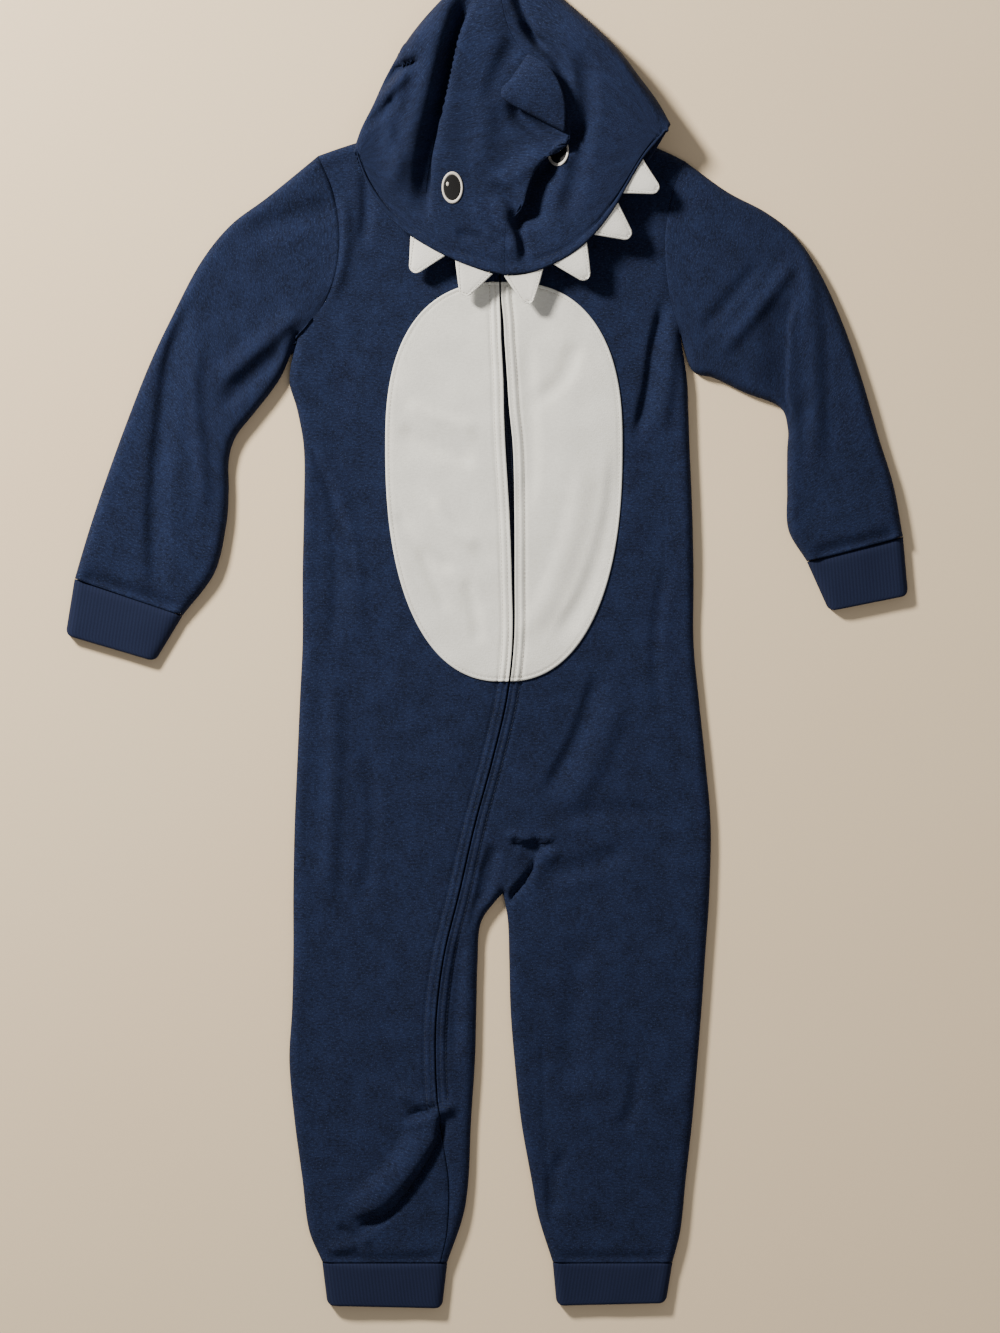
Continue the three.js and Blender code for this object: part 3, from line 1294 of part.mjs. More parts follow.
const frontRight = buildFront("right");
const frontLeft = buildFront("left");
buildBack("right");
buildBack("left");
buildBelly("right", frontRight);
buildBelly("left", frontLeft);
buildZipTape(frontRight, frontLeft);
buildSleeve("right");
buildSleeve("left");
for (const [name, cuff] of Object.entries(CUFFS)) buildCuff(name, cuff);
const hoodGrid = buildHood();
buildFin(hoodGrid);
buildTeeth();
buildEyes(hoodGrid);
buildSlider();

// The part's own origin is the middle of its outline on the surface
const box = new THREE.Box3().setFromObject(garment);
garment.position.set(-(box.min.x + box.max.x) / 2, -(box.min.y + box.max.y) / 2, -box.min.z);

const root = new THREE.Group();
root.add(garment);

export default root;
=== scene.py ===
"""A child's hooded one-piece pajama with a shark's face, fin and teeth, laid face up on a pale floor."""
import math
from collections import namedtuple

import bpy
import numpy as np
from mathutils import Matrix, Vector
from mathutils.bvhtree import BVHTree


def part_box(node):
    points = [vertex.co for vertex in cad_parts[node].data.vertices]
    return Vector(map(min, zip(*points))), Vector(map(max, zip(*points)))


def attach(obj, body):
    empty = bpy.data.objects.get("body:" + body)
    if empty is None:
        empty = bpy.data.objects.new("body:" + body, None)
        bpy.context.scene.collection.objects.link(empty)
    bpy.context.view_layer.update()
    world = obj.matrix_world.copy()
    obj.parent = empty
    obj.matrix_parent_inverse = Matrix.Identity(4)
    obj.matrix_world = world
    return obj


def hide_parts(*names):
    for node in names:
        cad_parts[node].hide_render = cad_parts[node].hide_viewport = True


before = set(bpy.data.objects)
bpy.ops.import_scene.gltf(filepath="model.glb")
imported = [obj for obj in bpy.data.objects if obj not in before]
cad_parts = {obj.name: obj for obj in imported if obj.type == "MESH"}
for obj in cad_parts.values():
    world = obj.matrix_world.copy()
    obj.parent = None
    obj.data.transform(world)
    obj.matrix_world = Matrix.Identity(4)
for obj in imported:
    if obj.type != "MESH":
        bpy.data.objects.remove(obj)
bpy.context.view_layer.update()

# Sizes are in millimetres until a mesh is made. x runs towards the garment's left side, y towards
# the hood and z up. x = 0 is the body's middle line and y = 0 is the crotch.
MM = 0.001
WALL = 2.0
SEAM_GAP = 0.3
BELLY_WALL = 1.5
TAPE_WALL = 1.0
EDGE_HEIGHT = 3.0
LEAST_TOP = 2 * WALL + 0.4
BODY_TOP = 9.0
SLEEVE_TOP = 11.5
CUFF_TOP = 8.5
FRONT_ROUND = 7.0
BACK_ROUND = 3.0
ANKLE_SEAM_Y = -280.0
ARMPIT_Y = 423.0
NECK_FRONT = (0.0, 502.0)
NECK_BACK = (0.0, 566.0)
ZIP_END_Y = -159.0
CROTCH = (2.0, 0.0)

# Body outline and zip line, from the armpit to the ankle seam
BODY_COLUMNS = ("y", "right", "left", "zip")
BODY_SECTIONS = [
    (423, -154, 137, 2), (390, -160, 142, 4), (367, -154, 143, 5), (338, -149, 144, 7),
    (290, -149, 146, 9), (240, -150, 147, 10), (190, -150, 147, 10), (147, -152, 151, 5),
    (100, -154, 156, -6), (52, -156, 160, -19), (0, -157, 159, -31), (-45, -157, 156, -42),
    (-89, -158, 153, -48), (-127, -160, 150, -49), (-173, -156, 146, -46), (-218, -150, 141, -39),
    (-256, -145, 137, -40), (-280, -135, 131, -45),
]
INSEAM_COLUMNS = ("y", "right", "left")
INSEAMS = [
    (0, 1.5, 2.5), (-21, -14, 6), (-51, -17, 7), (-89, -18, 8), (-127, -19, 11), (-173, -22, 16),
    (-218, -24, 24), (-245, -28, 29), (-280, -40, 40),
]
OPENING_COLUMNS = ("y", "half")
ZIP_OPENING = [
    (502, 5.5), (486, 5.2), (470, 1), (430, 1.2), (380, 1.7), (338, 2.9), (290, 2), (240, 1.2),
    (163, 0.7), (-150, 0.6), (-175, 0.2),
]

# Necklines, shoulders and armholes of the two sides
Side = namedtuple("Side", "sign shoulder neckline back_neck armhole")
SIDES = {
    "right": Side(
        -1,
        [(-76, 580), (-99, 573), (-121, 566), (-138, 560)],
        [(0, 502), (-46, 518), (-70, 549), (-76, 580)],
        [(0, 566), (-30, 567.5), (-58, 572), (-76, 580)],
        [(-154, 423), (-131, 452), (-122, 490), (-126, 530), (-138, 560)],
    ),
    "left": Side(
        1,
        [(76, 580), (104, 572), (128, 562), (140, 556)],
        [(0, 502), (46, 518), (70, 549), (76, 580)],
        [(0, 566), (30, 567.5), (58, 572), (76, 580)],
        [(137, 423), (128, 456), (125, 496), (130, 530), (140, 556)],
    ),
}

# Sleeves from the armhole to the cuff: the outer and inner end of each section
SLEEVES = {
    "right": [
        ((-138, 560), (-154, 423)), ((-176, 529), (-164, 397)), ((-205, 507), (-173, 382)),
        ((-228, 478), (-188, 363)), ((-249, 438), (-201, 346)), ((-266, 402), (-206, 328)),
        ((-283, 359), (-206, 305)), ((-299, 315), (-208, 279)), ((-312, 276), (-217, 243)),
        ((-323, 239), (-241, 211)),
    ],
    "left": [
        ((140, 556), (137, 423)), ((172, 533), (146, 397)), ((202, 517), (163, 391)),
        ((224, 499), (186, 380)), ((243, 471), (212, 369.5)), ((261, 431), (218.5, 353)),
        ((275, 390), (218, 334)), ((288, 345), (218, 305)), ((299, 309), (219, 276)),
        ((306, 271), (233, 252)),
    ],
}
ARMHOLE_REACH = 0.3
SLEEVE_PARTING = 0.1

# Ribbed cuffs: the two ends of the seam, then of the free edge
CUFFS = {
    "wrist_cuff_right": (((-323, 239), (-241, 211)), ((-330, 196), (-262, 176))),
    "wrist_cuff_left": (((306, 271), (233, 252)), ((310, 226), (250, 214))),
    "ankle_cuff_right": (((-135, -280), (-40, -280)), ((-131, -313), (-44, -315))),
    "ankle_cuff_left": (((131, -280), (40, -280)), ((126, -311), (43, -313))),
}

CUFF_CORNER = 5.0

# White belly: an oval over the two fronts
BELLY_MIDDLE = (3.0, 340.0)
BELLY_HALF_WIDTH = 90.0
BELLY_UP = 124.0
BELLY_DOWN = 179.5
BELLY_TOP_POWER = 2.5
BELLY_LOW_POWER = 2.35

# Folds of the cloth. A path's left side is on the left hand along it.
Fold = namedtuple("Fold", "depth left right path")
BODY_FOLDS = [
    # Right sleeve and shoulder
    Fold(-4.5, 16, 9, [(-240, 462), (-253, 390), (-261, 317), (-263, 280), (-261, 222)]),
    Fold(2.5, 9, 9, [(-229, 420), (-232, 380), (-227, 329), (-224, 285)]),
    Fold(4, 8, 14, [(-150, 440), (-182, 414), (-215, 385)]),
    Fold(-3.5, 8, 12, [(-160, 414), (-186, 392), (-212, 368)]),
    Fold(-3, 14, 18, [(-190, 500), (-160, 512), (-122, 524)]),
    Fold(-3.5, 8, 8, [(-102, 548), (-101, 520), (-104, 492)]),
    Fold(2.5, 8, 8, [(-118, 530), (-118, 490), (-126, 452)]),
    # Left sleeve
    Fold(-5, 5, 26, [(220, 452), (218, 420), (217, 385), (217, 360)]),
    Fold(3, 12, 10, [(230, 492), (236, 445), (238, 390), (240, 320)]),
    Fold(3, 9, 10, [(226, 482), (198, 446), (166, 408)]),
    Fold(-2.5, 9, 9, [(198, 478), (174, 450), (152, 424)]),
    # Chest and hips
    Fold(-4.2, 10, 6, [(125, 452), (116, 414), (112, 385), (103, 345)]),
    Fold(2.5, 9, 9, [(134, 430), (128, 390), (122, 350)]),
    Fold(1.6, 12, 12, [(-146, 355), (-122, 300), (-110, 240), (-108, 190)]),
    Fold(-2.2, 4, 8, [(-148, 348), (-130, 310), (-116, 270), (-110, 232)]),
    Fold(2, 10, 12, [(-126, 170), (-125, 110), (-128, 50), (-130, -10)]),
    # Groin and crotch
    Fold(-3, 13, 9, [(75, 168), (58, 118), (34, 74)]),
    Fold(2, 14, 14, [(92, 150), (74, 104), (52, 64)]),
    Fold(-1.8, 12, 12, [(40, 56), (84, 62), (130, 58)]),
    Fold(-4.2, 9, 8, [(38, 40), (24, 34), (20, 12), (8, -2)]),
    Fold(-3, 8, 8, [(-4, 38), (-8, 14), (-14, -12)]),
    Fold(-2.2, 14, 12, [(30, 14), (62, 20), (100, 34)]),
    # Legs
    Fold(2.5, 10, 8, [(-80, -150), (-56, -160), (-30, -164)]),
    Fold(-4.6, 12, 9, [(-41, -168), (-54, -192), (-68, -215), (-86, -238), (-112, -256)]),
    Fold(2.5, 10, 10, [(-62, -176), (-80, -208), (-108, -232)]),
    Fold(-2.5, 8, 12, [(-30, -30), (-33, -80), (-35, -130)]),
    Fold(-2, 8, 8, [(50, -196), (41, -214), (42, -244)]),
    Fold(-1.8, 9, 9, [(104, -126), (102, -158), (92, -180)]),
    Fold(-1.6, 16, 16, [(62, -30), (56, -90), (54, -150)]),
    # Gathers at the cuffs
    Fold(-2, 7, 7, [(-138, -276), (-88, -278), (-40, -276)]),
    Fold(-2, 7, 7, [(132, -276), (86, -277), (42, -276)]),
    Fold(-3, 9, 9, [(-324, 243), (-282, 229), (-240, 215)]),
    Fold(-3, 9, 9, [(306, 274), (270, 265), (234, 256)]),
    # Sharp ridges that lie over a fold, at the elbow and the knee
    Fold(2.4, 14, 3, [(226, 456), (224, 420), (223, 385), (222, 356)]),
    Fold(6, 3.5, 15, [(-47, -164), (-60, -188), (-74, -209), (-92, -230), (-116, -246)]),
    Fold(-3, 9, 4, [(-41, -170), (-54, -192), (-68, -215), (-86, -238), (-106, -254)]),
    Fold(2.6, 3.5, 9, [(-74, -176), (-56, -169), (-34, -160)]),
    Fold(-2.4, 4, 5, [(-72, -170), (-58, -164), (-46, -160)]),
    Fold(-2.6, 5, 5, [(-124, -254), (-113, -258), (-104, -270)]),
    Fold(2, 6, 5, [(-132, -270), (-116, -268), (-96, -262)]),
    # Inner seam of the plain leg, and small creases where the legs meet
    Fold(-0.9, 3, 3, [(33, -100), (33, -150), (36, -205), (38, -268)]),
    Fold(-4.6, 4, 7, [(26, 48), (30, 30), (22, 9), (4, -8)]),
    Fold(-4.6, 5, 10, [(26, 14), (16, 2), (2, -10)]),
    Fold(-4.6, 4, 5, [(8, 40), (23, 34), (38, 37)]),
    Fold(3, 7, 3, [(4, 45), (23, 40), (42, 42)]),
    Fold(3.2, 7, 3, [(20, 32), (20, 20), (12, 8), (-2, -4)]),
    Fold(1.6, 6, 6, [(46, 34), (34, 22), (28, 4)]),
    Fold(-1.4, 5, 5, [(-10, 30), (-15, 4), (-22, -30)]),
    # Soft hollows of the chest panels and the belly
    Fold(-2.4, 12, 9, [(-78, 352), (-50, 338), (-18, 328)]),
    Fold(1.8, 8, 10, [(-72, 372), (-46, 360), (-16, 352)]),
    Fold(-1.8, 8, 10, [(-80, 290), (-60, 262), (-34, 244)]),
    Fold(1.6, 9, 7, [(-52, 300), (-36, 276), (-16, 262)]),
    Fold(-1.5, 9, 12, [(60, 420), (48, 390), (24, 370)]),
    Fold(-1.4, 10, 12, [(20, 424), (22, 380), (24, 330), (20, 286)]),
    Fold(-2, 14, 10, [(88, 340), (84, 290), (68, 236), (42, 188)]),
    Fold(1.3, 14, 12, [(66, 336), (56, 282), (38, 230), (16, 190)]),
    Fold(-1.2, 8, 9, [(-26, 240), (-19, 212), (-15, 188)]),
    Fold(-1.1, 8, 8, [(-62, 262), (-50, 236), (-40, 212)]),
    Fold(-1.2, 9, 7, [(-132, 330), (-124, 260), (-128, 180)]),
    Fold(-1.3, 10, 9, [(-104, 120), (-96, 60), (-104, -10)]),
    Fold(-1.2, 8, 8, [(126, 250), (118, 190), (122, 130)]),
]
FOLD_END = 0.22
FOLD_EDGE_FADE = 11.0

# Where a ridge lies over the fold beside it: how far over, and how wide in front and behind. The
# ridge is on the path's left (1) or right (-1).
Lap = namedtuple("Lap", "by ridge front behind path")
BODY_LAPS = [
    Lap(4.5, 1, 5, 13, [(220, 452), (218, 420), (217, 385), (217, 360)]),
    Lap(9, -1, 4.5, 17, [(-40, -162), (-54, -192), (-68, -215), (-86, -238), (-114, -258)]),
    Lap(5, 1, 3, 10, [(28, 38), (28, 22), (20, 7), (4, -8)]),
]
HOOD_LAPS = [
    Lap(6.5, 1, 5, 20, [(-20, 690), (-30, 648), (-39, 606), (-49, 560), (-56, 508)]),
    Lap(12, -1, 7, 27, [(57, 590), (53, 578), (46, 570), (36, 562), (23, 550), (15, 530), (14, 504)]),
    Lap(5, 1, 6, 14, [(8, 696), (18, 668), (32, 640)]),
]

# Hood laid forward over the chest: its open edge and its folded side
HOOD = {
    "right": (
        [(4, 468), (-23, 475), (-53, 489), (-80, 508), (-99, 534), (-108, 558)],
        [(0, 703), (-23, 697), (-43, 680), (-68, 651), (-87, 619), (-97, 596), (-105, 580), (-110, 566)],
    ),
    "left": (
        [(4, 468), (30, 472), (61, 489), (84, 515), (106, 553), (123, 574)],
        [(0, 703), (27, 696), (49, 678), (72, 658), (91, 639), (106, 619), (119, 601), (129, 582)],
    ),
}
HOOD_LINE_COLUMNS = ("line", "hem", "side", "neck")
HOOD_LINES = [
    (0, 0, 0, 0), (0.2, 0.15, 0.2, 0.4), (0.4, 0.32, 0.4, 0.82), (0.5, 0.41, 0.52, 1),
    (0.6, 0.51, 0.64, 1.2), (0.8, 0.74, 0.85, 1.62), (1, 1, 1, 2),
]
HOOD_ROUND = 12.0
HOOD_BACK_ROUND = 5.0
HOOD_FOLD_HALF = 4.5
HOOD_OVER_CHEST = BODY_TOP + 0.6
HOOD_RAMP = {"shoulder": (17.0, 20.0), "neck": (0.0, 14.0)}
HOOD_NECK_GAP = 0.4
HOOD_PARTING = 0.04
CHEEK_BULGE = 26.0
CHEEK_OUT = (0.5, -0.87)
HOOD_CORNER_LIFT = {"right": 1.0, "left": 10.0}
SWING_BY, SWING_AT, SWING_REACH, SWING_FROM = 46.0, 592.0, 44.0, 36.0
HOOD_MIDDLE, HOOD_RIGHT, HOOD_LEFT, HOOD_CROWN = 25.0, 21.5, 29.5, 16.5
HOOD_FOLDS = [
    Fold(-16, 5, 17, [(-20, 690), (-30, 648), (-39, 606), (-49, 560), (-56, 512)]),
    Fold(3, 20, 5, [(-13, 688), (-23, 646), (-32, 604), (-41, 560), (-50, 520)]),
    Fold(5, 14, 12, [(-36, 674), (-50, 640), (-61, 600), (-72, 562), (-80, 530)]),
    Fold(-3, 10, 10, [(-10, 596), (-2, 622), (14, 648)]),
    Fold(3, 12, 12, [(-48, 668), (-70, 620), (-82, 572), (-80, 530)]),
    Fold(3, 16, 16, [(-4, 690), (-6, 640), (-12, 590), (-14, 540)]),
    Fold(-9, 8, 9, [(10, 692), (20, 664), (34, 638)]),
    Fold(-10, 16, 6, [(57, 588), (53, 578), (46, 570), (36, 562), (26, 552)]),
    Fold(-14, 31, 6, [(38, 564), (31, 557), (23, 550), (15, 530), (14, 502)]),
    Fold(5.5, 5, 18, [(50, 584), (44, 576), (36, 568), (16, 550), (7, 528), (7, 508)]),
    Fold(-3.5, 5, 8, [(-8, 542), (1, 529), (8, 514)]),
    Fold(2, 6, 6, [(-22, 520), (-8, 508), (6, 500)]),
    Fold(-1.5, 8, 8, [(-70, 560), (-80, 586), (-84, 600)]),
    Fold(-3.6, 7, 5, [(-4, 536), (6, 518), (15, 501), (19, 478)]),
    Fold(3, 3.5, 8, [(-10, 530), (1, 514), (10, 498), (14, 478)]),
    Fold(-3, 4, 6, [(-34, 500), (-16, 497), (2, 490)]),
    Fold(3, 8, 8, [(22, 566), (4, 548), (-10, 536)]),
    Fold(2.5, 7, 7, [(-14, 500), (0, 492), (12, 486)]),
    Fold(-9, 3.5, 6, [(-92, 608), (-84, 619), (-76, 627), (-60, 631)]),
    Fold(-2.5, 5, 8, [(-104, 580), (-92, 590), (-78, 604)]),
    Fold(-6, 8, 8, [(14, 662), (26, 648), (42, 632), (52, 610)]),
    Fold(-8, 6, 12, [(14, 602), (15, 590), (27, 579), (40, 569)]),
    Fold(3.5, 6, 7, [(-90, 600), (-80, 611), (-70, 620)]),
    Fold(-4, 12, 12, [(62, 640), (66, 596), (58, 548), (48, 508)]),
]

# Fin: its root on the hood's middle seam, and its tip, which has flopped over
FIN_ROOT = [(21, 635), (36, 625), (44, 613), (49, 597), (49, 575)]
FIN_TIP = [(7, 614), (1.5, 608.5), (1.2, 602), (8, 596.5)]
FIN_THICK, FIN_RIM, FIN_LIFT = 7.5, 4.4, 4.0

# Teeth along the hood's open edge. The first ones are folded under it.
TEETH = (-135, -99, -63, -24.5, 14, 52.5, 90.5, 128.5)
TOOTH_BASE, TOOTH_LENGTH, TOOTH_TIP, TOOTH_THICK, TOOTH_DROOP, TOOTH_GAP = 30.0, 22.5, 5.6, 1.8, 3.0, 0.3
TUCKED_TEETH = 2
TUCKED_RISE = 1.3

EYES = {"right": (-36, 534), "left": (44, 562.5)}
EYE_HALF = (8.0, 12.0)
EYE_WHITE = 0.8
EYE_PUPIL = 0.6
EYE_RING = 0.8


def mix(a, b, share):
    return a + (b - a) * share


def smooth(value):
    share = np.clip(value, 0, 1)
    return share * share * (3 - 2 * share)


def rise(share):
    """How far a turned edge has risen, at a share of its radius from the side."""
    return np.sqrt(1 - (1 - np.clip(share, 0, 1)) ** 2)


def turn(radius, steps):
    """Distances from an edge at which a quarter turn has its points."""
    return radius * (1 - np.cos(np.linspace(0, math.pi / 2, steps + 1)))


def curve_through(places, values):
    """A smooth curve through values at rising places."""
    places, values = np.asarray(places, float), np.asarray(values, float)
    last = len(places) - 1
    before = np.maximum(np.arange(last + 1) - 1, 0)
    after = np.minimum(np.arange(last + 1) + 1, last)
    slopes = (values[after] - values[before]) / (places[after] - places[before])

    def at(place):
        i = np.clip(np.searchsorted(places, place) - 1, 0, last - 1)
        step = places[i + 1] - places[i]
        share = np.clip((place - places[i]) / step, 0, 1)
        rest = 1 - share
        return (
            (1 + 2 * share) * rest * rest * values[i]
            + share * rest * rest * step * slopes[i]
            + share * share * (3 - 2 * share) * values[i + 1]
            - share * share * rest * step * slopes[i + 1]
        )

    return at


def table_curve(rows, columns, place, value):
    ordered = sorted(rows, key=lambda row: row[columns.index(place)])
    return curve_through(
        [row[columns.index(place)] for row in ordered], [row[columns.index(value)] for row in ordered]
    )


def path_curve(points):
    """A smooth path through points, read by a share of its length, and that length."""
    points = np.asarray(points, float)
    places = np.concatenate([[0], np.cumsum(np.linalg.norm(np.diff(points, axis=0), axis=1))])
    axes = [curve_through(places, points[:, axis]) for axis in range(points.shape[1])]
    return lambda share: np.stack([axis(np.asarray(share) * places[-1]) for axis in axes], axis=-1), places[-1]


def sampled(points, step=2.0):
    at, length = path_curve(points)
    return at(np.linspace(0, 1, max(int(length / step), 2) + 1))


def nearest_on(path, spots):
    """Distance, share of length and side of the nearest place on a joined line."""
    path = np.asarray(path, float)
    steps = np.diff(path, axis=0)
    lengths = np.linalg.norm(steps, axis=1)
    best = np.full(len(spots), np.inf)
    run = np.zeros(len(spots))
    side = np.zeros(len(spots))
    done = 0.0
    for start, step, length in zip(path, steps, lengths):
        to = spots - start
        along = np.clip((to @ step) / length**2, 0, 1)
        off = to - along[:, None] * step
        away = np.hypot(off[:, 0], off[:, 1])
        closer = away < best
        best = np.where(closer, away, best)
        run = np.where(closer, done + along * length, run)
        side = np.where(closer, step[0] * off[:, 1] - step[1] * off[:, 0], side)
        done += length
    return best, run / done, side


def soft_noise(spots, size, seed):
    """A smooth random height from -1 to 1, which changes over about that many millimetres."""
    table = np.random.default_rng(seed).uniform(-1, 1, (64, 64))
    place = spots / size + 1000.0
    cell = np.floor(place).astype(int)
    share = smooth(place - cell)
    x, y = cell[:, 0] % 64, cell[:, 1] % 64
    x1, y1 = (x + 1) % 64, (y + 1) % 64
    low = mix(table[x, y], table[x1, y], share[:, 0])
    high = mix(table[x, y1], table[x1, y1], share[:, 0])
    return mix(low, high, share[:, 1])


# Outline of the garment without its hood
body_side = {name: table_curve(BODY_SECTIONS, BODY_COLUMNS, "y", name) for name in ("right", "left")}
inseam = {name: table_curve(INSEAMS, INSEAM_COLUMNS, "y", name) for name in ("right", "left")}
zip_line_of_body = table_curve(BODY_SECTIONS, BODY_COLUMNS, "y", "zip")
zip_opening = table_curve(ZIP_OPENING, OPENING_COLUMNS, "y", "half")
armhole = {name: path_curve(side.armhole)[0] for name, side in SIDES.items()}
back_neckline = {name: path_curve(side.back_neck)[0] for name, side in SIDES.items()}


def zip_line(y):
    y = np.asarray(y, float)
    above = mix(zip_line_of_body(ARMPIT_Y), NECK_FRONT[0], smooth((y - ARMPIT_Y) / 40))
    return np.where(y <= ARMPIT_Y, zip_line_of_body(np.minimum(y, ARMPIT_Y)), above)


def sleeve_end(name, end, share):
    rows = np.array(SLEEVES[name], float)
    places = np.linspace(0, 1, len(rows))
    return np.stack([curve_through(places, rows[:, end, axis])(share) for axis in (0, 1)], axis=-1)


def outline_of(curve, low, high):
    y = np.linspace(low, high, int((high - low) / 2) + 1)
    return np.stack([curve(y), y], axis=1)


OUTLINES = [
    outline_of(body_side["right"], ANKLE_SEAM_Y, ARMPIT_Y),
    outline_of(body_side["left"], ANKLE_SEAM_Y, ARMPIT_Y),
    outline_of(inseam["right"], ANKLE_SEAM_Y, 0),
    outline_of(inseam["left"], ANKLE_SEAM_Y, 0),
    *(sampled(side.shoulder, 1.5) for side in SIDES.values()),
    *(sleeve_end(name, end, np.linspace(0, 1, 160)) for name in SIDES for end in (0, 1)),
    *(np.array([ends[0][i], ends[1][i]], float) for ends in CUFFS.values() for i in (0, 1)),
]
SHOULDERS = {name: sampled(side.shoulder, 2.0) for name, side in SIDES.items()}
ARMHOLES = [sampled(side.armhole, 2.0) for side in SIDES.values()]
# The left shoulder's seam lies a little forward of the top, where the photograph shows it
SHOULDER_SEAMS = [[(-110, 559), (-138, 547)], [(112, 556), (138, 546)]]


def distance_to_lines(lines, spots, reach=16.0):
    """Distance to the nearest of several lines, exact up to that reach."""
    best = np.full(len(spots), 2.5 * reach)
    for line in lines:
        line = np.asarray(line, float)
        for start in range(0, len(line) - 1, 8):
            part = line[start : start + 9]
            near = (spots > part.min(axis=0) - reach) & (spots < part.max(axis=0) + reach)
            inside = np.flatnonzero(near.all(axis=1))
            if len(inside):
                best[inside] = np.minimum(best[inside], nearest_on(part, spots[inside])[0])
    return best


def fold_height(folds, spots):
    height = np.zeros(len(spots))
    for fold in folds:
        path = np.array(fold.path, float)
        widest = max(fold.left, fold.right)
        near = (spots > path.min(axis=0) - widest) & (spots < path.max(axis=0) + widest)
        inside = np.flatnonzero(near.all(axis=1))
        if not len(inside):
            continue
        away, share, side = nearest_on(sampled(path, 6.0), spots[inside])
        width = np.where(side > 0, fold.left, fold.right)
        across = 0.5 + 0.5 * np.cos(math.pi * np.clip(away / width, 0, 1))
        height[inside] += fold.depth * across * smooth(np.minimum(share, 1 - share) / FOLD_END + 0.15)
    return height


def lapped(laps, spots, held):
    """How far each spot is moved sideways where a ridge lies over the fold beside it."""
    moved = np.zeros_like(spots)
    for lap in laps:
        path = np.array(lap.path, float)
        reach = lap.front + lap.behind
        near = (spots > path.min(axis=0) - reach) & (spots < path.max(axis=0) + reach)
        inside = np.flatnonzero(near.all(axis=1))
        if not len(inside):
            continue
        away, share, side = nearest_on(sampled(path, 6.0), spots[inside])
        away = np.where(side * lap.ridge > 0, away, 0)
        over = smooth(away / lap.front) * (1 - smooth((away - lap.front) / lap.behind))
        over *= smooth(np.minimum(share, 1 - share) / 0.25)
        chord = path[-1] - path[0]
        toward = np.array([chord[1], -chord[0]]) / np.linalg.norm(chord) * lap.ridge
        moved[inside] += lap.by * (over * held[inside])[:, None] * toward
    return moved


def groove(distance, depth, half):
    return -depth * np.exp(-((distance / half) ** 2))


def placket_relief(spots):
    """The folded strip beside the zip, with its two sewn lines, and the leg seam below it."""
    x, y = spots[:, 0], spots[:, 1]
    away = np.abs(x - zip_line(y)) - zip_opening(y)
    zipped = smooth((y - ZIP_END_Y + 4) / 8)
    strip = 0.9 * smooth((8.6 - away) / 1.5) * zipped
    sewn = groove(away - 2.8, 0.8, 1.1) + groove(away - 7.4, 1.2, 1.3)
    seam_below = groove(away - 0.2, 0.7, 2.0) * (1 - zipped) * smooth((y + 262) / 12)
    return strip + sewn * zipped + seam_below


def top_height(spots, base=None):
    """Height of the top cloth before its sides turn down, and how far each spot is from a side."""
    x, y = spots[:, 0], spots[:, 1]
    beyond_body = smooth((np.abs(x) - 118) / 45) * smooth((y - 205) / 60)
    plain = mix(BODY_TOP, SLEEVE_TOP, beyond_body) if base is None else np.full(len(x), float(base))
    side_distance = distance_to_lines(OUTLINES, spots)
    fade = smooth(side_distance / FOLD_EDGE_FADE)
    waves = 0.7 * soft_noise(spots * [1.0, 0.7], 38, 3) + 0.4 * soft_noise(spots, 17, 4)
    top = np.maximum(LEAST_TOP, plain + fade * (fold_height(BODY_FOLDS, spots) + waves))
    seams = distance_to_lines(ARMHOLES + SHOULDER_SEAMS, spots, 8.0)
    top += groove(seams, 0.6, 2.2) * smooth(side_distance / 4)
    return top, side_distance


def front_height(spots, base=None):
    top, side_distance = top_height(spots, base)
    if base is None:
        top = top + placket_relief(spots)
    middle = EDGE_HEIGHT + SEAM_GAP / 2
    return mix(middle, top, rise(side_distance / FRONT_ROUND))


def under_height(spots):
    middle = EDGE_HEIGHT - SEAM_GAP / 2
    return middle * (1 - rise(distance_to_lines(OUTLINES, spots, 6.0) / BACK_ROUND))


def joined(spots, heights):
    return np.concatenate([spots, heights[:, None]], axis=1)


SHIFT = np.array(
    [
        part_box("wrist_cuff_right")[0].x / MM - CUFFS["wrist_cuff_right"][1][0][0],
        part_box("back_left")[0].y / MM - ANKLE_SEAM_Y,
        0.0,
    ]
)
pieces = {}


def make_object(name, points, faces, uv, material):
    mesh = bpy.data.meshes.new(name)
    mesh.from_pydata(((points + SHIFT) * MM).tolist(), [], faces)
    layer = mesh.uv_layers.new(name="cloth")
    corners = np.empty(len(mesh.loops), dtype=np.int32)
    mesh.loops.foreach_get("vertex_index", corners)
    layer.data.foreach_set("uv", (uv[corners] * MM).astype(np.float32).ravel())
    mesh.polygons.foreach_set("use_smooth", np.ones(len(mesh.polygons), dtype=bool))
    mesh.materials.append(material)
    mesh.validate()
    piece = bpy.data.objects.new(name, mesh)
    bpy.context.scene.collection.objects.link(piece)
    pieces[name] = piece
    return piece


def grid_quads(rows, columns, closed=False, flip=False):
    index = np.arange(rows * columns).reshape(rows, columns)
    after = np.roll(index, -1, axis=1) if closed else index[:, 1:]
    here = index if closed else index[:, :-1]
    quads = np.stack([here[:-1], after[:-1], after[1:], here[1:]], axis=-1).reshape(-1, 4)
    return quads[:, ::-1] if flip else quads


def surface_normals(points, quads):
    a, b, c, d = (points[quads[:, i]] for i in range(4))
    face = np.cross(c - a, d - b)
    normals = np.zeros_like(points)
    for i in range(4):
        np.add.at(normals, quads[:, i], face)
    return normals


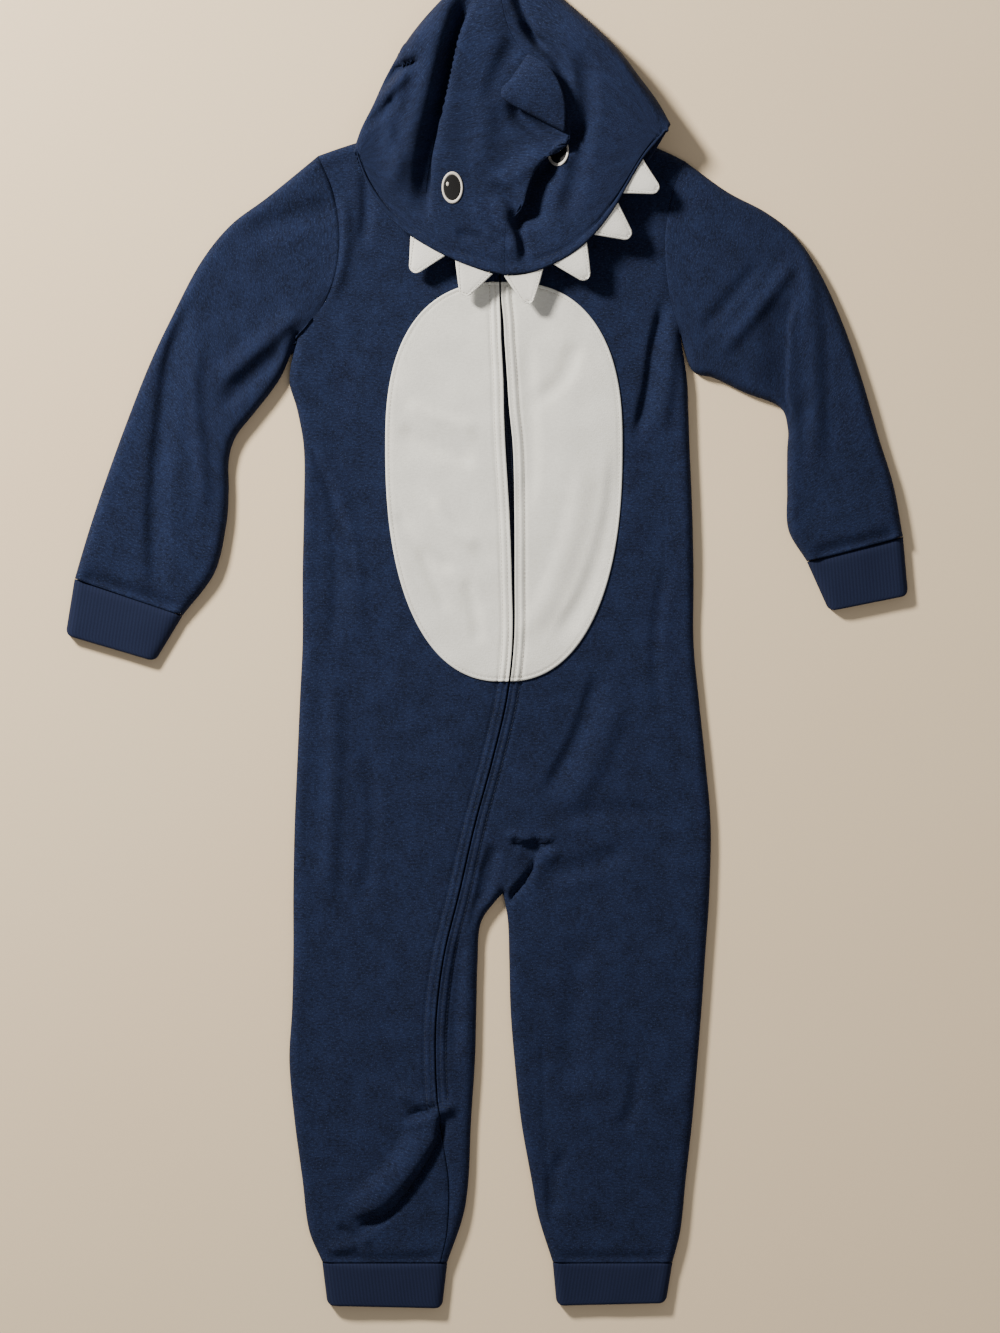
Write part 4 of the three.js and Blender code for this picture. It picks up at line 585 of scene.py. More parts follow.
def closed_wall(name, points, quads, thick, uv, material, level=None, inner=None, caps=()):
    """A closed cloth wall: its outer surface, an inner one behind it, and the rims between."""
    normals = surface_normals(points, quads)
    if level is not None:
        normals[level, 2] = 0
    normals /= np.maximum(np.linalg.norm(normals, axis=1), 1e-9)[:, None]
    if inner is None:
        inner = points - thick * normals
        inner[:, 2] = np.maximum(inner[:, 2], 0)
    count = len(points)
    ends = [quads[:, [i, (i + 1) % 4]] for i in range(4)]
    ends += [np.stack([np.array(cap), np.roll(cap, -1)], axis=1) for cap in caps]
    edges = np.concatenate(ends)
    keys = edges[:, 0].astype(np.int64) * count + edges[:, 1]
    back = edges[:, 1].astype(np.int64) * count + edges[:, 0]
    rim = edges[~np.isin(keys, back)]
    rims = np.stack([rim[:, 1], rim[:, 0], rim[:, 0] + count, rim[:, 1] + count], axis=1)
    faces = np.concatenate([quads, quads[:, ::-1] + count, rims]).tolist()
    for cap in caps:
        faces.append(list(cap))
        faces.append([i + count for i in reversed(list(cap))])
    return make_object(name, np.concatenate([points, inner]), faces, np.concatenate([uv, uv]), material)


# Materials. Colours are sRGB hex, and patterns are given by their real sizes in millimetres.
def colour(code):
    channels = [int(code[i : i + 2], 16) / 255 for i in (1, 3, 5)]
    return (*(c / 12.92 if c <= 0.04045 else ((c + 0.055) / 1.055) ** 2.4 for c in channels), 1.0)


def every(size):
    """The texture scale at which a pattern repeats about every that many millimetres."""
    return 1000.0 / size


def add(tree, kind, inputs=None, links=None, **settings):
    node = tree.nodes.new(kind)
    for key, value in settings.items():
        setattr(node, key, value)
    for key, value in (inputs or {}).items():
        node.inputs[key].default_value = value
    for key, source in (links or {}).items():
        tree.links.new(source, node.inputs[key])
    return node


def new_material(name):
    material = bpy.data.materials.new(name)
    material.use_nodes = True
    tree = material.node_tree
    tree.nodes.clear()
    return material, tree


def finish_material(tree, shader):
    add(tree, "ShaderNodeOutputMaterial", links={"Surface": shader.outputs[0]})


def brushed_fleece(name, dark, light, fleck, contrast, fleck_share, sheen):
    """Polyester fleece brushed on its face: matt, softly glowing at grazing angles, with fibres of
    two shades spun together, which show as short streaks across the cloth."""
    material, tree = new_material(name)
    cloth = add(tree, "ShaderNodeUVMap", uv_map="cloth").outputs[0]
    across = add(tree, "ShaderNodeMapping", {"Scale": (1.0, 2.4, 1.0)}, {"Vector": cloth}).outputs[0]
    # Yarn streaks are about 3 mm long and fibres about 1 mm. The soft blotches over 16 mm are painted sheen: lighter
    # and darker patches where the brushed nap would catch the light unevenly.
    streak = add(
        tree, "ShaderNodeTexNoise", {"Scale": every(3.2), "Detail": 4.0, "Roughness": 0.65}, {"Vector": across}
    ).outputs[0]
    fibre = add(
        tree, "ShaderNodeTexNoise", {"Scale": every(1.1), "Detail": 2.0, "Roughness": 0.7}, {"Vector": cloth}
    ).outputs[0]
    brushed = add(
        tree, "ShaderNodeTexNoise", {"Scale": every(16), "Detail": 4.0, "Roughness": 0.62}, {"Vector": cloth}
    ).outputs[0]
    # The colour mixes the painted sheen blotches with the yarn's two-shade streaks
    both = add(
        tree, "ShaderNodeMath", {1: 0.5}, {0: brushed, 2: streak}, operation="MULTIPLY_ADD"
    ).outputs[0]
    shade = add(
        tree, "ShaderNodeMapRange", {"From Min": 0.75 - contrast, "From Max": 0.75 + contrast}, {"Value": both}
    ).outputs[0]
    base = add(
        tree, "ShaderNodeMix", {6: colour(dark), 7: colour(light)}, {0: shade}, data_type="RGBA"
    ).outputs[2]
    flecks = add(
        tree, "ShaderNodeMapRange",
        {"From Min": 0.56, "From Max": 0.74, "To Max": fleck_share}, {"Value": fibre},
    ).outputs[0]
    tint = add(
        tree, "ShaderNodeMix", {7: colour(fleck)}, {0: flecks, 6: base}, data_type="RGBA"
    ).outputs[2]
    nap = add(tree, "ShaderNodeMath", {1: 0.35}, {0: streak, 2: fibre}, operation="MULTIPLY_ADD").outputs[0]
    bump = add(
        tree, "ShaderNodeBump", {"Strength": 0.4, "Distance": 0.0006}, {"Height": nap}
    ).outputs[0]
    shader = add(
        tree, "ShaderNodeBsdfPrincipled",
        {
            "Roughness": 0.95, "Specular IOR Level": 0.2, "Sheen Weight": sheen,
            "Sheen Roughness": 0.55, "Sheen Tint": colour(fleck),
        },
        {"Base Color": tint, "Normal": bump},
    )
    finish_material(tree, shader)
    return material


def ribbed_knit(name, dark, light, pitch):
    """Cotton rib for cuffs: fine upright ribs, smoother and a little darker than the fleece. The colour follows the
    rib height: painted shade in the hollows and lighter crests, with the yarn's random tone.
    """
    material, tree = new_material(name)
    cloth = add(tree, "ShaderNodeUVMap", uv_map="cloth").outputs[0]
    # A wave texture has one band in 1/20 of a unit at scale 1
    ribs = add(
        tree, "ShaderNodeTexWave", {"Scale": every(pitch) / 20 * math.pi, "Distortion": 0.4, "Detail": 1.0,
                                    "Detail Scale": 2.0},
        {"Vector": cloth}, wave_type="BANDS", bands_direction="X",
    ).outputs[1]
    yarn = add(
        tree, "ShaderNodeTexNoise", {"Scale": every(1.0), "Detail": 3.0, "Roughness": 0.6}, {"Vector": cloth}
    ).outputs[0]
    height = add(tree, "ShaderNodeMath", {1: 0.5}, {0: ribs, 2: yarn}, operation="MULTIPLY_ADD").outputs[0]
    # Colour from the rib height: painted shade between the ribs, mixed with the yarn's random tone
    shade = add(
        tree, "ShaderNodeMapRange", {"From Min": 0.0, "From Max": 1.5}, {"Value": height}
    ).outputs[0]
    base = add(
        tree, "ShaderNodeMix", {6: colour(dark), 7: colour(light)}, {0: shade}, data_type="RGBA"
    ).outputs[2]
    bump = add(
        tree, "ShaderNodeBump", {"Strength": 0.2, "Distance": 0.0003}, {"Height": height}
    ).outputs[0]
    shader = add(
        tree, "ShaderNodeBsdfPrincipled",
        {
            "Roughness": 0.9, "Specular IOR Level": 0.2, "Sheen Weight": 0.05,
            "Sheen Roughness": 0.5, "Sheen Tint": colour(light),
        },
        {"Base Color": base, "Normal": bump},
    )
    finish_material(tree, shader)
    return material


def spun_thread(name, dark, light, size, roughness=0.6):
    """Polyester sewing or embroidery thread: a slight gloss, with the twist as fine stripes."""
    material, tree = new_material(name)
    place = add(tree, "ShaderNodeTexCoord").outputs["Object"]
    twist = add(
        tree, "ShaderNodeTexNoise", {"Scale": every(size), "Detail": 2.0, "Roughness": 0.6}, {"Vector": place}
    ).outputs[0]
    shade = add(
        tree, "ShaderNodeMapRange", {"From Min": 0.35, "From Max": 0.65}, {"Value": twist}
    ).outputs[0]
    base = add(
        tree, "ShaderNodeMix", {6: colour(dark), 7: colour(light)}, {0: shade}, data_type="RGBA"
    ).outputs[2]
    bump = add(
        tree, "ShaderNodeBump", {"Strength": 0.4, "Distance": 0.0003}, {"Height": twist}
    ).outputs[0]
    shader = add(
        tree, "ShaderNodeBsdfPrincipled", {"Roughness": roughness, "Specular IOR Level": 0.4},
        {"Base Color": base, "Normal": bump},
    )
    finish_material(tree, shader)
    return material


def woven_tape(name, dark, light):
    """Zip tape: a tight twill of fine navy yarn, drawn at 1 mm so that it shows, with painted shade along the twill's
    diagonal hollows.
    """
    material, tree = new_material(name)
    cloth = add(tree, "ShaderNodeUVMap", uv_map="cloth").outputs[0]
    twill = add(
        tree, "ShaderNodeTexWave", {"Scale": every(1.0) / 20 * math.pi, "Distortion": 0.5},
        {"Vector": cloth}, wave_type="BANDS", bands_direction="DIAGONAL",
    ).outputs[1]
    # The twill bands darken the colour: painted shade in the diagonal hollows of one navy yarn
    base = add(
        tree, "ShaderNodeMix", {6: colour(dark), 7: colour(light)}, {0: twill}, data_type="RGBA"
    ).outputs[2]
    bump = add(
        tree, "ShaderNodeBump", {"Strength": 0.4, "Distance": 0.0003}, {"Height": twill}
    ).outputs[0]
    shader = add(
        tree, "ShaderNodeBsdfPrincipled", {"Roughness": 0.8, "Specular IOR Level": 0.25},
        {"Base Color": base, "Normal": bump},
    )
    finish_material(tree, shader)
    return material


def satin_metal(name, dark, light):
    """Die-cast zinc slider with a satin plating: grey, with faint wear."""
    material, tree = new_material(name)
    place = add(tree, "ShaderNodeTexCoord").outputs["Object"]
    wear = add(
        tree, "ShaderNodeTexNoise", {"Scale": every(1.5), "Detail": 4.0, "Roughness": 0.6}, {"Vector": place}
    ).outputs[0]
    base = add(
        tree, "ShaderNodeMix", {6: colour(dark), 7: colour(light)}, {0: wear}, data_type="RGBA"
    ).outputs[2]
    rough = add(
        tree, "ShaderNodeMapRange", {"To Min": 0.3, "To Max": 0.5}, {"Value": wear}
    ).outputs[0]
    shader = add(
        tree, "ShaderNodeBsdfPrincipled", {"Metallic": 1.0}, {"Base Color": base, "Roughness": rough}
    )
    finish_material(tree, shader)
    return material


def painted_board(name, base_colour, shade_colour):
    """Matt emulsion over a smooth board: pale, with a faint roller texture."""
    material, tree = new_material(name)
    place = add(tree, "ShaderNodeTexCoord").outputs["Object"]
    roller = add(
        tree, "ShaderNodeTexNoise", {"Scale": every(4), "Detail": 3.0, "Roughness": 0.5}, {"Vector": place}
    ).outputs[0]
    broad = add(
        tree, "ShaderNodeTexNoise", {"Scale": every(400), "Detail": 2.0, "Roughness": 0.5}, {"Vector": place}
    ).outputs[0]
    base = add(
        tree, "ShaderNodeMix", {6: colour(base_colour), 7: colour(shade_colour)}, {0: broad}, data_type="RGBA"
    ).outputs[2]
    bump = add(
        tree, "ShaderNodeBump", {"Strength": 0.12, "Distance": 0.0005}, {"Height": roller}
    ).outputs[0]
    shader = add(
        tree, "ShaderNodeBsdfPrincipled", {"Roughness": 0.7, "Specular IOR Level": 0.3},
        {"Base Color": base, "Normal": bump},
    )
    finish_material(tree, shader)
    return material


NAVY_FLEECE = brushed_fleece("brushed_fleece_navy", "#0b1225", "#1b2747", "#42547e", 0.19, 0.45, 0.07)
WHITE_FLEECE = brushed_fleece("brushed_fleece_white", "#e2e4df", "#f0f3ef", "#f8faf7", 0.2, 0.5, 0.1)
TOOTH_FLEECE = brushed_fleece("brushed_fleece_teeth", "#eceee9", "#f6f8f5", "#fbfcfa", 0.2, 0.4, 0.1)
NAVY_RIB = ribbed_knit("rib_knit_navy", "#0d142a", "#1d2745", 1.3)
NAVY_THREAD = spun_thread("sewing_thread_navy", "#141b2c", "#26324c", 0.5, 0.8)
WHITE_THREAD = spun_thread("sewing_thread_white", "#b5b2aa", "#d8d5cd", 0.5)
EYE_THREAD_WHITE = spun_thread("embroidery_thread_white", "#cfccc4", "#efede7", 0.5)
EYE_THREAD_BLACK = spun_thread("embroidery_thread_black", "#030406", "#090b10", 0.5, 0.75)
ZIP_TAPE = woven_tape("woven_tape_navy", "#10172a", "#1d2740")
ZIP_COIL = spun_thread("moulded_nylon_navy", "#131a2e", "#202b48", 1.0, 0.45)
ZIP_METAL = satin_metal("plated_zinc_satin", "#5c6066", "#8b9097")
FLOOR_PAINT = painted_board("matt_paint_pale", "#f3e3c4", "#efd9b8")


# Fronts
PLACKET_REACH = 12.0
FORK_REACH = 110.0
STRIP_WIDTH = 33.0


def across(low, high, shares):
    return low[:, None] + (high - low)[:, None] * shares[None, :]


def front_columns(name, y, zip_edge, edge):
    """x of each column of a front at each row, before and after the fork between the legs."""
    sign = SIDES[name].sign
    reach = np.full(len(y), PLACKET_REACH)
    if name == "left":
        strip_left = np.where(y < 0, inseam["right"](np.minimum(y, 0)), CROTCH[0]) - zip_edge
        reach = np.minimum(reach, 0.55 * np.where(y < 0, strip_left, STRIP_WIDTH))
    placket = across(zip_edge, zip_edge + sign * reach, np.linspace(0, 1, 11))
    outside = across(edge - sign * FRONT_ROUND, edge, turn(FRONT_ROUND, 6)[::-1] / -FRONT_ROUND + 1)
    if name == "right":
        plain = across(placket[:, -1], outside[:, 0], np.linspace(0, 1, 52)[1:-1])
        return np.concatenate([placket, plain, outside], axis=1), None
    blend = smooth(1 - y / FORK_REACH)
    free = zip_edge + STRIP_WIDTH
    before = mix(free, np.where(y < 0, inseam["right"](np.minimum(y, 0)), CROTCH[0]), blend)
    after = mix(free, np.where(y < 0, inseam["left"](np.minimum(y, 0)), CROTCH[0]), blend)
    bend = turn(FRONT_ROUND, 6) / FRONT_ROUND
    near = np.minimum(FRONT_ROUND, (before - placket[:, -1]) * 0.7)
    into = across(before - near, before, 1 - bend[::-1])
    strip = across(placket[:, -1], into[:, 0], np.linspace(0, 1, 6)[1:-1])
    out_of = across(after, after + FRONT_ROUND, bend)
    plain = across(out_of[:, -1], outside[:, 0], np.linspace(0, 1, 50)[1:-1])
    fork = placket.shape[1] + strip.shape[1] + into.shape[1] - 1
    first = np.concatenate([placket, strip, into, out_of[:, 1:], plain, outside], axis=1)
    second = first.copy()
    second[:, fork] = after
    return first, (fork, second)


def build_front(name):
    side = SIDES[name]
    body_y = np.concatenate(
        [[-280, -279, -277, -274], np.arange(-271, -25, 2.75), np.linspace(-24, 0, 16), np.arange(2.5, 421, 2.75)]
    )
    zip_edge = zip_line(body_y) + side.sign * zip_opening(body_y)
    first, forked = front_columns(name, body_y, zip_edge, body_side[name](body_y))
    columns = first.shape[1]
    body = np.stack([first, np.repeat(body_y[:, None], columns, axis=1)], axis=-1)
    # Above the armpit the rows lift and bend until the last one follows the neckline and shoulder
    shares = np.concatenate([np.linspace(0, 0.9, 32), 1 - turn(FRONT_ROUND, 6)[::-1] / 80])
    top_y = mix(ARMPIT_Y, NECK_FRONT[1], shares)
    row_zip = np.stack([zip_line(top_y) + side.sign * zip_opening(top_y), top_y], axis=1)
    row_end = armhole[name](shares)
    start = zip_line(ARMPIT_Y) + side.sign * zip_opening(ARMPIT_Y)
    finish_x = body_side[name](ARMPIT_Y)
    last_row, _ = front_columns(name, np.array([ARMPIT_Y]), np.array([start]), np.array([finish_x]))
    u = (last_row[0] - start) / (finish_x - start)
    corner = int(np.argmin(np.abs(u - 0.62)))
    neck_at, _ = path_curve([row_zip[-1], *side.neckline[1:]])
    shoulder_at, _ = path_curve(side.shoulder)
    top_line = np.concatenate(
        [neck_at(u[: corner + 1] / u[corner]), shoulder_at((u[corner + 1 :] - u[corner]) / (1 - u[corner]))]
    )
    straight = mix(row_zip[:, None, :], row_end[:, None, :], u[None, :, None])
    top_straight = mix(row_zip[-1][None, :], row_end[-1][None, :], u[:, None])
    bulge = (smooth((shares - 0.3) / 0.7) * shares)[:, None, None]
    yoke = straight + bulge * (top_line - top_straight)[None]
    grid = np.concatenate([body, yoke])
    rows = len(grid)
    spots = grid.reshape(-1, 2)
    quads = grid_quads(rows, columns, flip=side.sign < 0)
    level = np.zeros(len(spots), bool)
    at_edge = level.reshape(rows, columns)
    at_edge[: len(body_y), -1] = True
    at_edge[-1, corner:] = True
    if forked:
        fork, second = forked
        below = int(np.sum(body_y < 0))
        at_edge[: below + 1, fork] = True
        extra = np.arange(below) + len(spots)
        own = np.arange(below) * columns + fork
        swap = dict(zip(own.tolist(), extra.tolist()))
        beyond = quads % columns
        for i, quad in enumerate(quads):
            if beyond[i].max() > fork and beyond[i].min() == fork:
                quads[i] = [swap.get(int(corner_id), int(corner_id)) for corner_id in quad]
        spots = np.concatenate([spots, np.stack([second[:below, fork], body_y[:below]], axis=1)])
        level = np.concatenate([level, np.ones(below, bool)])
    heights = front_height(spots)
    heights[level] = EDGE_HEIGHT + SEAM_GAP / 2
    points = joined(spots, heights)
    held = smooth(distance_to_lines(OUTLINES, spots) / FOLD_EDGE_FADE)
    points[:, :2] += lapped(BODY_LAPS, spots, held)
    piece = closed_wall(f"front_{name}_fleece", points, quads, WALL, spots, NAVY_FLEECE, level)
    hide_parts(f"front_{name}")
    return piece


def build_back(name):
    side = SIDES[name]
    body_y = np.concatenate([np.arange(-280, -24, 6.0), np.linspace(-24, 0, 7), np.arange(6, 420, 6.0)])
    middle_line = mix(CROTCH[0], NECK_BACK[0], np.clip(body_y / NECK_BACK[1], 0, 1)) + side.sign * SEAM_GAP / 2
    middle = np.where(body_y < 0, inseam[name](np.minimum(body_y, 0)), middle_line)
    edge = body_side[name](body_y)
    bend = turn(BACK_ROUND, 4) / 30
    shares = np.concatenate([bend * 0.2, np.linspace(0.05, 0.95, 22), 1 - bend[::-1] * 0.2])
    body = np.stack([across(middle, edge, shares), np.repeat(body_y[:, None], len(shares), axis=1)], axis=-1)
    rises = np.concatenate([np.linspace(0, 0.95, 18), 1 - turn(BACK_ROUND, 4)[::-1] / 100])
    top_y = mix(ARMPIT_Y, NECK_BACK[1], rises)
    row_middle = np.stack(
        [mix(CROTCH[0], NECK_BACK[0], top_y / NECK_BACK[1]) + side.sign * SEAM_GAP / 2, top_y], axis=1
    )
    row_end = armhole[name](rises)
    corner = int(np.argmin(np.abs(shares - 0.52)))
    neck_at, _ = path_curve([row_middle[-1], *side.back_neck[1:]])
    shoulder_at, _ = path_curve(side.shoulder)
    top_line = np.concatenate(
        [
            neck_at(shares[: corner + 1] / shares[corner]),
            shoulder_at((shares[corner + 1 :] - shares[corner]) / (1 - shares[corner])),
        ]
    )
    straight = mix(row_middle[:, None, :], row_end[:, None, :], shares[None, :, None])
    top_straight = mix(row_middle[-1][None, :], row_end[-1][None, :], shares[:, None])
    bulge = (smooth((rises - 0.3) / 0.7) * rises)[:, None, None]
    grid = np.concatenate([body, straight + bulge * (top_line - top_straight)[None]])
    rows, columns = grid.shape[:2]
    spots = grid.reshape(-1, 2)
    level = np.zeros(len(spots), bool)
    at_edge = level.reshape(rows, columns)
    at_edge[: len(body_y), -1] = True
    at_edge[: int(np.sum(body_y <= 0)), 0] = True
    at_edge[-1, corner:] = True
    heights = under_height(spots)
    heights[level] = EDGE_HEIGHT - SEAM_GAP / 2
    quads = grid_quads(rows, columns, flip=side.sign > 0)
    piece = closed_wall(f"back_{name}_fleece", joined(spots, heights), quads, WALL, spots, NAVY_FLEECE, level)
    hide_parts(f"back_{name}")
    return piece


# White belly on each front
def belly_half_width(y):
    up = y > BELLY_MIDDLE[1]
    share = np.clip(np.abs(y - BELLY_MIDDLE[1]) / np.where(up, BELLY_UP, BELLY_DOWN), 0, 1)
    power = np.where(up, BELLY_TOP_POWER, BELLY_LOW_POWER)
    return BELLY_HALF_WIDTH * (1 - share**power) ** (1 / power)


def belly_rows():
    """Heights of the oval's rows, closer together where its edge turns across."""
    low = BELLY_MIDDLE[1] - BELLY_DOWN * np.sin(np.linspace(1.5, 0, 75)) ** (2 / BELLY_LOW_POWER)
    high = BELLY_MIDDLE[1] + BELLY_UP * np.sin(np.linspace(0, 1.5, 60)) ** (2 / BELLY_TOP_POWER)
    return np.concatenate([low, high[1:]])


BELLY_LINE_ANGLES = np.linspace(-math.pi, math.pi, 361)


def belly_outline(inset=0.0):
    """The oval's edge as a closed line, or a line that far inside it."""
    sine, cosine = np.sin(BELLY_LINE_ANGLES), np.cos(BELLY_LINE_ANGLES)
    power = np.where(sine > 0, BELLY_TOP_POWER, BELLY_LOW_POWER)
    height = np.where(sine > 0, BELLY_UP, BELLY_DOWN) - inset
    x = BELLY_MIDDLE[0] + (BELLY_HALF_WIDTH - inset) * np.sign(cosine) * np.abs(cosine) ** (2 / power)
    y = BELLY_MIDDLE[1] + height * np.sign(sine) * np.abs(sine) ** (2 / power)
    return np.stack([x, y], axis=1)


BELLY_EDGE = belly_outline()
BELLY_STITCH_INSET = 2.6


def belly_height(spots):
    edge = distance_to_lines([BELLY_EDGE], spots, 8.0)
    relief = 0.35 * soft_noise(spots, 22, 8) + groove(edge - BELLY_STITCH_INSET, 0.45, 0.8)
    top = SEAM_GAP + BELLY_WALL * (0.45 + 0.55 * rise(edge / 1.6))
    return front_height(spots) + top + relief * smooth(edge / 3)


def build_belly(name):
    sign = SIDES[name].sign
    y = belly_rows()
    edge = BELLY_MIDDLE[0] + sign * belly_half_width(y)
    zip_edge = zip_line(y) + sign * zip_opening(y)
    wide = sign * (edge - zip_edge) > 2.5
    y, edge, zip_edge = y[wide], edge[wide], zip_edge[wide]
    shares = np.concatenate([np.linspace(0, 0.14, 11), np.linspace(0.165, 0.955, 30), [0.968, 0.98, 0.99, 0.996, 1]])
    spots = np.stack([across(zip_edge, edge, shares), np.repeat(y[:, None], len(shares), axis=1)], axis=-1)
    spots = spots.reshape(-1, 2)
    quads = grid_quads(len(y), len(shares), flip=sign < 0)
    outer = joined(spots, belly_height(spots))
    inner = joined(spots, front_height(spots) + SEAM_GAP)
    piece = closed_wall(f"belly_{name}_fleece", outer, quads, BELLY_WALL, spots, WHITE_FLEECE, inner=inner)
    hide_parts(f"belly_{name}")
    return piece


def build_zip_tape():
    y = np.arange(ZIP_END_Y - 1, 503, 3.0)
    half = zip_opening(y) + 8.5
    offsets = np.linspace(-1, 1, 15)
    x = zip_line(y)[:, None] + half[:, None] * offsets[None, :]
    spots = np.stack([x, np.repeat(y[:, None], 15, axis=1)], axis=-1).reshape(-1, 2)
    top = top_height(spots)[0] - WALL - 2 * SEAM_GAP
    piece = closed_wall(
        "zip_tape_twill", joined(spots, top), grid_quads(len(y), 15), TAPE_WALL, spots, ZIP_TAPE
    )
    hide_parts("zip_tape")
    return piece


# Sleeves and cuffs: flat tubes
def tube_shares(length):
    top = turn(min(FRONT_ROUND, length * 0.3), 6) / length
    plain = np.linspace(top[-1], 1 - top[-1], 32)[1:-1]
    under = turn(BACK_ROUND, 4)[1:] / length
    low = np.linspace(under[-1], 1 - under[-1], 12)[1:-1]
    return np.concatenate([top, plain, 1 - top[::-1]]), np.concatenate([1 - under, low[::-1], under[::-1]])


def tube_ring(outer, inner, base=None, bend=None, swell=0.0):
    """One ring of a flat tube between its two ends, and its cloth coordinate across."""
    length = np.linalg.norm(np.subtract(outer, inner))
    top, under = tube_shares(length)
    shares = np.concatenate([top, under])
    spots = mix(np.array(outer, float), np.array(inner, float), shares[:, None])
    if bend is not None:
        spots = spots + bend(shares)
    heights = np.concatenate([front_height(spots[: len(top)], base), under_height(spots[len(top) :])])
    heights[: len(top)] += swell
    heights[[0, len(top) - 1]] = EDGE_HEIGHT
    held = smooth(distance_to_lines(OUTLINES, spots) / FOLD_EDGE_FADE)
    held[len(top) :] = 0
    moved = lapped(BODY_LAPS, spots, held)
    girth = np.concatenate([top * length, (2 - under) * length])
    return joined(spots + moved, heights), girth


def build_sleeve(name):
    sign = SIDES[name].sign
    shares = np.concatenate([np.linspace(0, 0.03, 5)[:-1], np.linspace(0.03, 0.985, 104), [0.99, 0.995, 1]])
    rings, uvs = [], []
    for share in shares:
        ends = [sleeve_end(name, end, share) for end in (0, 1)]
        fade = max(0.0, 1 - share / ARMHOLE_REACH) ** 2
        parting = SLEEVE_PARTING * max(0.0, 1 - share / 0.01)

        def bend(across_shares):
            hole = armhole[name](1 - across_shares)
            line = mix(sleeve_end(name, 0, 0.0), sleeve_end(name, 1, 0.0), across_shares[:, None])
            return fade * (hole - line) + [sign * parting, 0]

        ring, girth = tube_ring(*ends, bend=bend)
        rings.append(ring)
        uvs.append(np.stack([girth, np.full(len(girth), share * 330.0)], axis=1))
    points = np.concatenate(rings)
    columns = len(rings[0])
    quads = grid_quads(len(rings), columns, closed=True)
    if surface_normals(points, quads)[points[:, 2] > 7, 2].sum() < 0:
        quads = quads[:, ::-1]
    level = np.zeros(len(points), bool)
    piece = closed_wall(f"sleeve_{name}_fleece", points, quads, WALL, np.concatenate(uvs), NAVY_FLEECE, level)
    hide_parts(f"sleeve_{name}")
    return piece


def build_cuff(name):
    begin, end = (np.array(ends, float) for ends in CUFFS[name])
    along = end.mean(axis=0) - begin.mean(axis=0)
    length = np.linalg.norm(along)
    along /= length
    begin = begin + along * SEAM_GAP * 1.5
    shares = np.concatenate([[0, 0.01, 0.025, 0.05], np.linspace(0.08, 0.84, 14), [0.88, 0.92, 0.95, 0.975, 0.99, 1]])
    rings, uvs = [], []
    for share in shares:
        ends = mix(begin, end, share)
        to_free = (1 - share) * length
        inset = CUFF_CORNER * (1 - float(rise(to_free / CUFF_CORNER)))
        inward = (ends[1] - ends[0]) / np.linalg.norm(ends[1] - ends[0])
        ends = np.stack([ends[0] + inward * inset, ends[1] - inward * inset])
        near_end = min(share, 1 - share) * length
        swell = -1.3 * (1 - float(rise(near_end / 1.6)))
        ring, girth = tube_ring(ends[0], ends[1], CUFF_TOP, swell=swell)
        rings.append(ring)
        uvs.append(np.stack([girth, np.full(len(girth), share * length)], axis=1))
    points = np.concatenate(rings)
    quads = grid_quads(len(rings), len(rings[0]), closed=True)
    if surface_normals(points, quads)[points[:, 2] > 6, 2].sum() < 0:
        quads = quads[:, ::-1]
    piece = closed_wall(f"{name}_rib", points, quads, WALL, np.concatenate(uvs), NAVY_RIB)
    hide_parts(name)
    return piece


# Hood
hood_share = {
    part: table_curve(HOOD_LINES, HOOD_LINE_COLUMNS, "line", part) for part in ("hem", "side", "neck")
}
HEM_STITCH = 7.6


def hood_rest(name, spots, line):
    """Where the hood's under layer lies: over the chest, and down to the floor beyond the shoulder."""
    near, _, side = nearest_on(SHOULDERS[name], spots)
    wide_of_neck = np.abs(spots[:, 0]) > abs(SIDES[name].shoulder[0][0])
    over_chest = (line >= 0.5) & (~wide_of_neck | (side * SIDES[name].sign < 0))
    blend = smooth((line - 0.417) / 0.083)
    begin = mix(HOOD_RAMP["neck"][0], HOOD_RAMP["shoulder"][0], blend)
    reach = mix(HOOD_RAMP["neck"][1], HOOD_RAMP["shoulder"][1], blend)
    ramp = HOOD_OVER_CHEST * (1 - smooth((near - begin) / reach))
    return np.where(over_chest, HOOD_OVER_CHEST, ramp), HOOD_CORNER_LIFT[name] * smooth((line - 0.5) / 0.5)


def hood_top(spots):
    x, y = spots[:, 0], spots[:, 1]
    top = np.full(len(x), HOOD_MIDDLE)
    top = mix(top, HOOD_RIGHT, smooth((-x - 30) / 60))
    top = mix(top, HOOD_LEFT, smooth((x - 10) / 70))
    top = mix(top, HOOD_CROWN, smooth((y - 640) / 60))
    return top + fold_height(HOOD_FOLDS, spots) + 0.6 * soft_noise(spots, 24, 11)


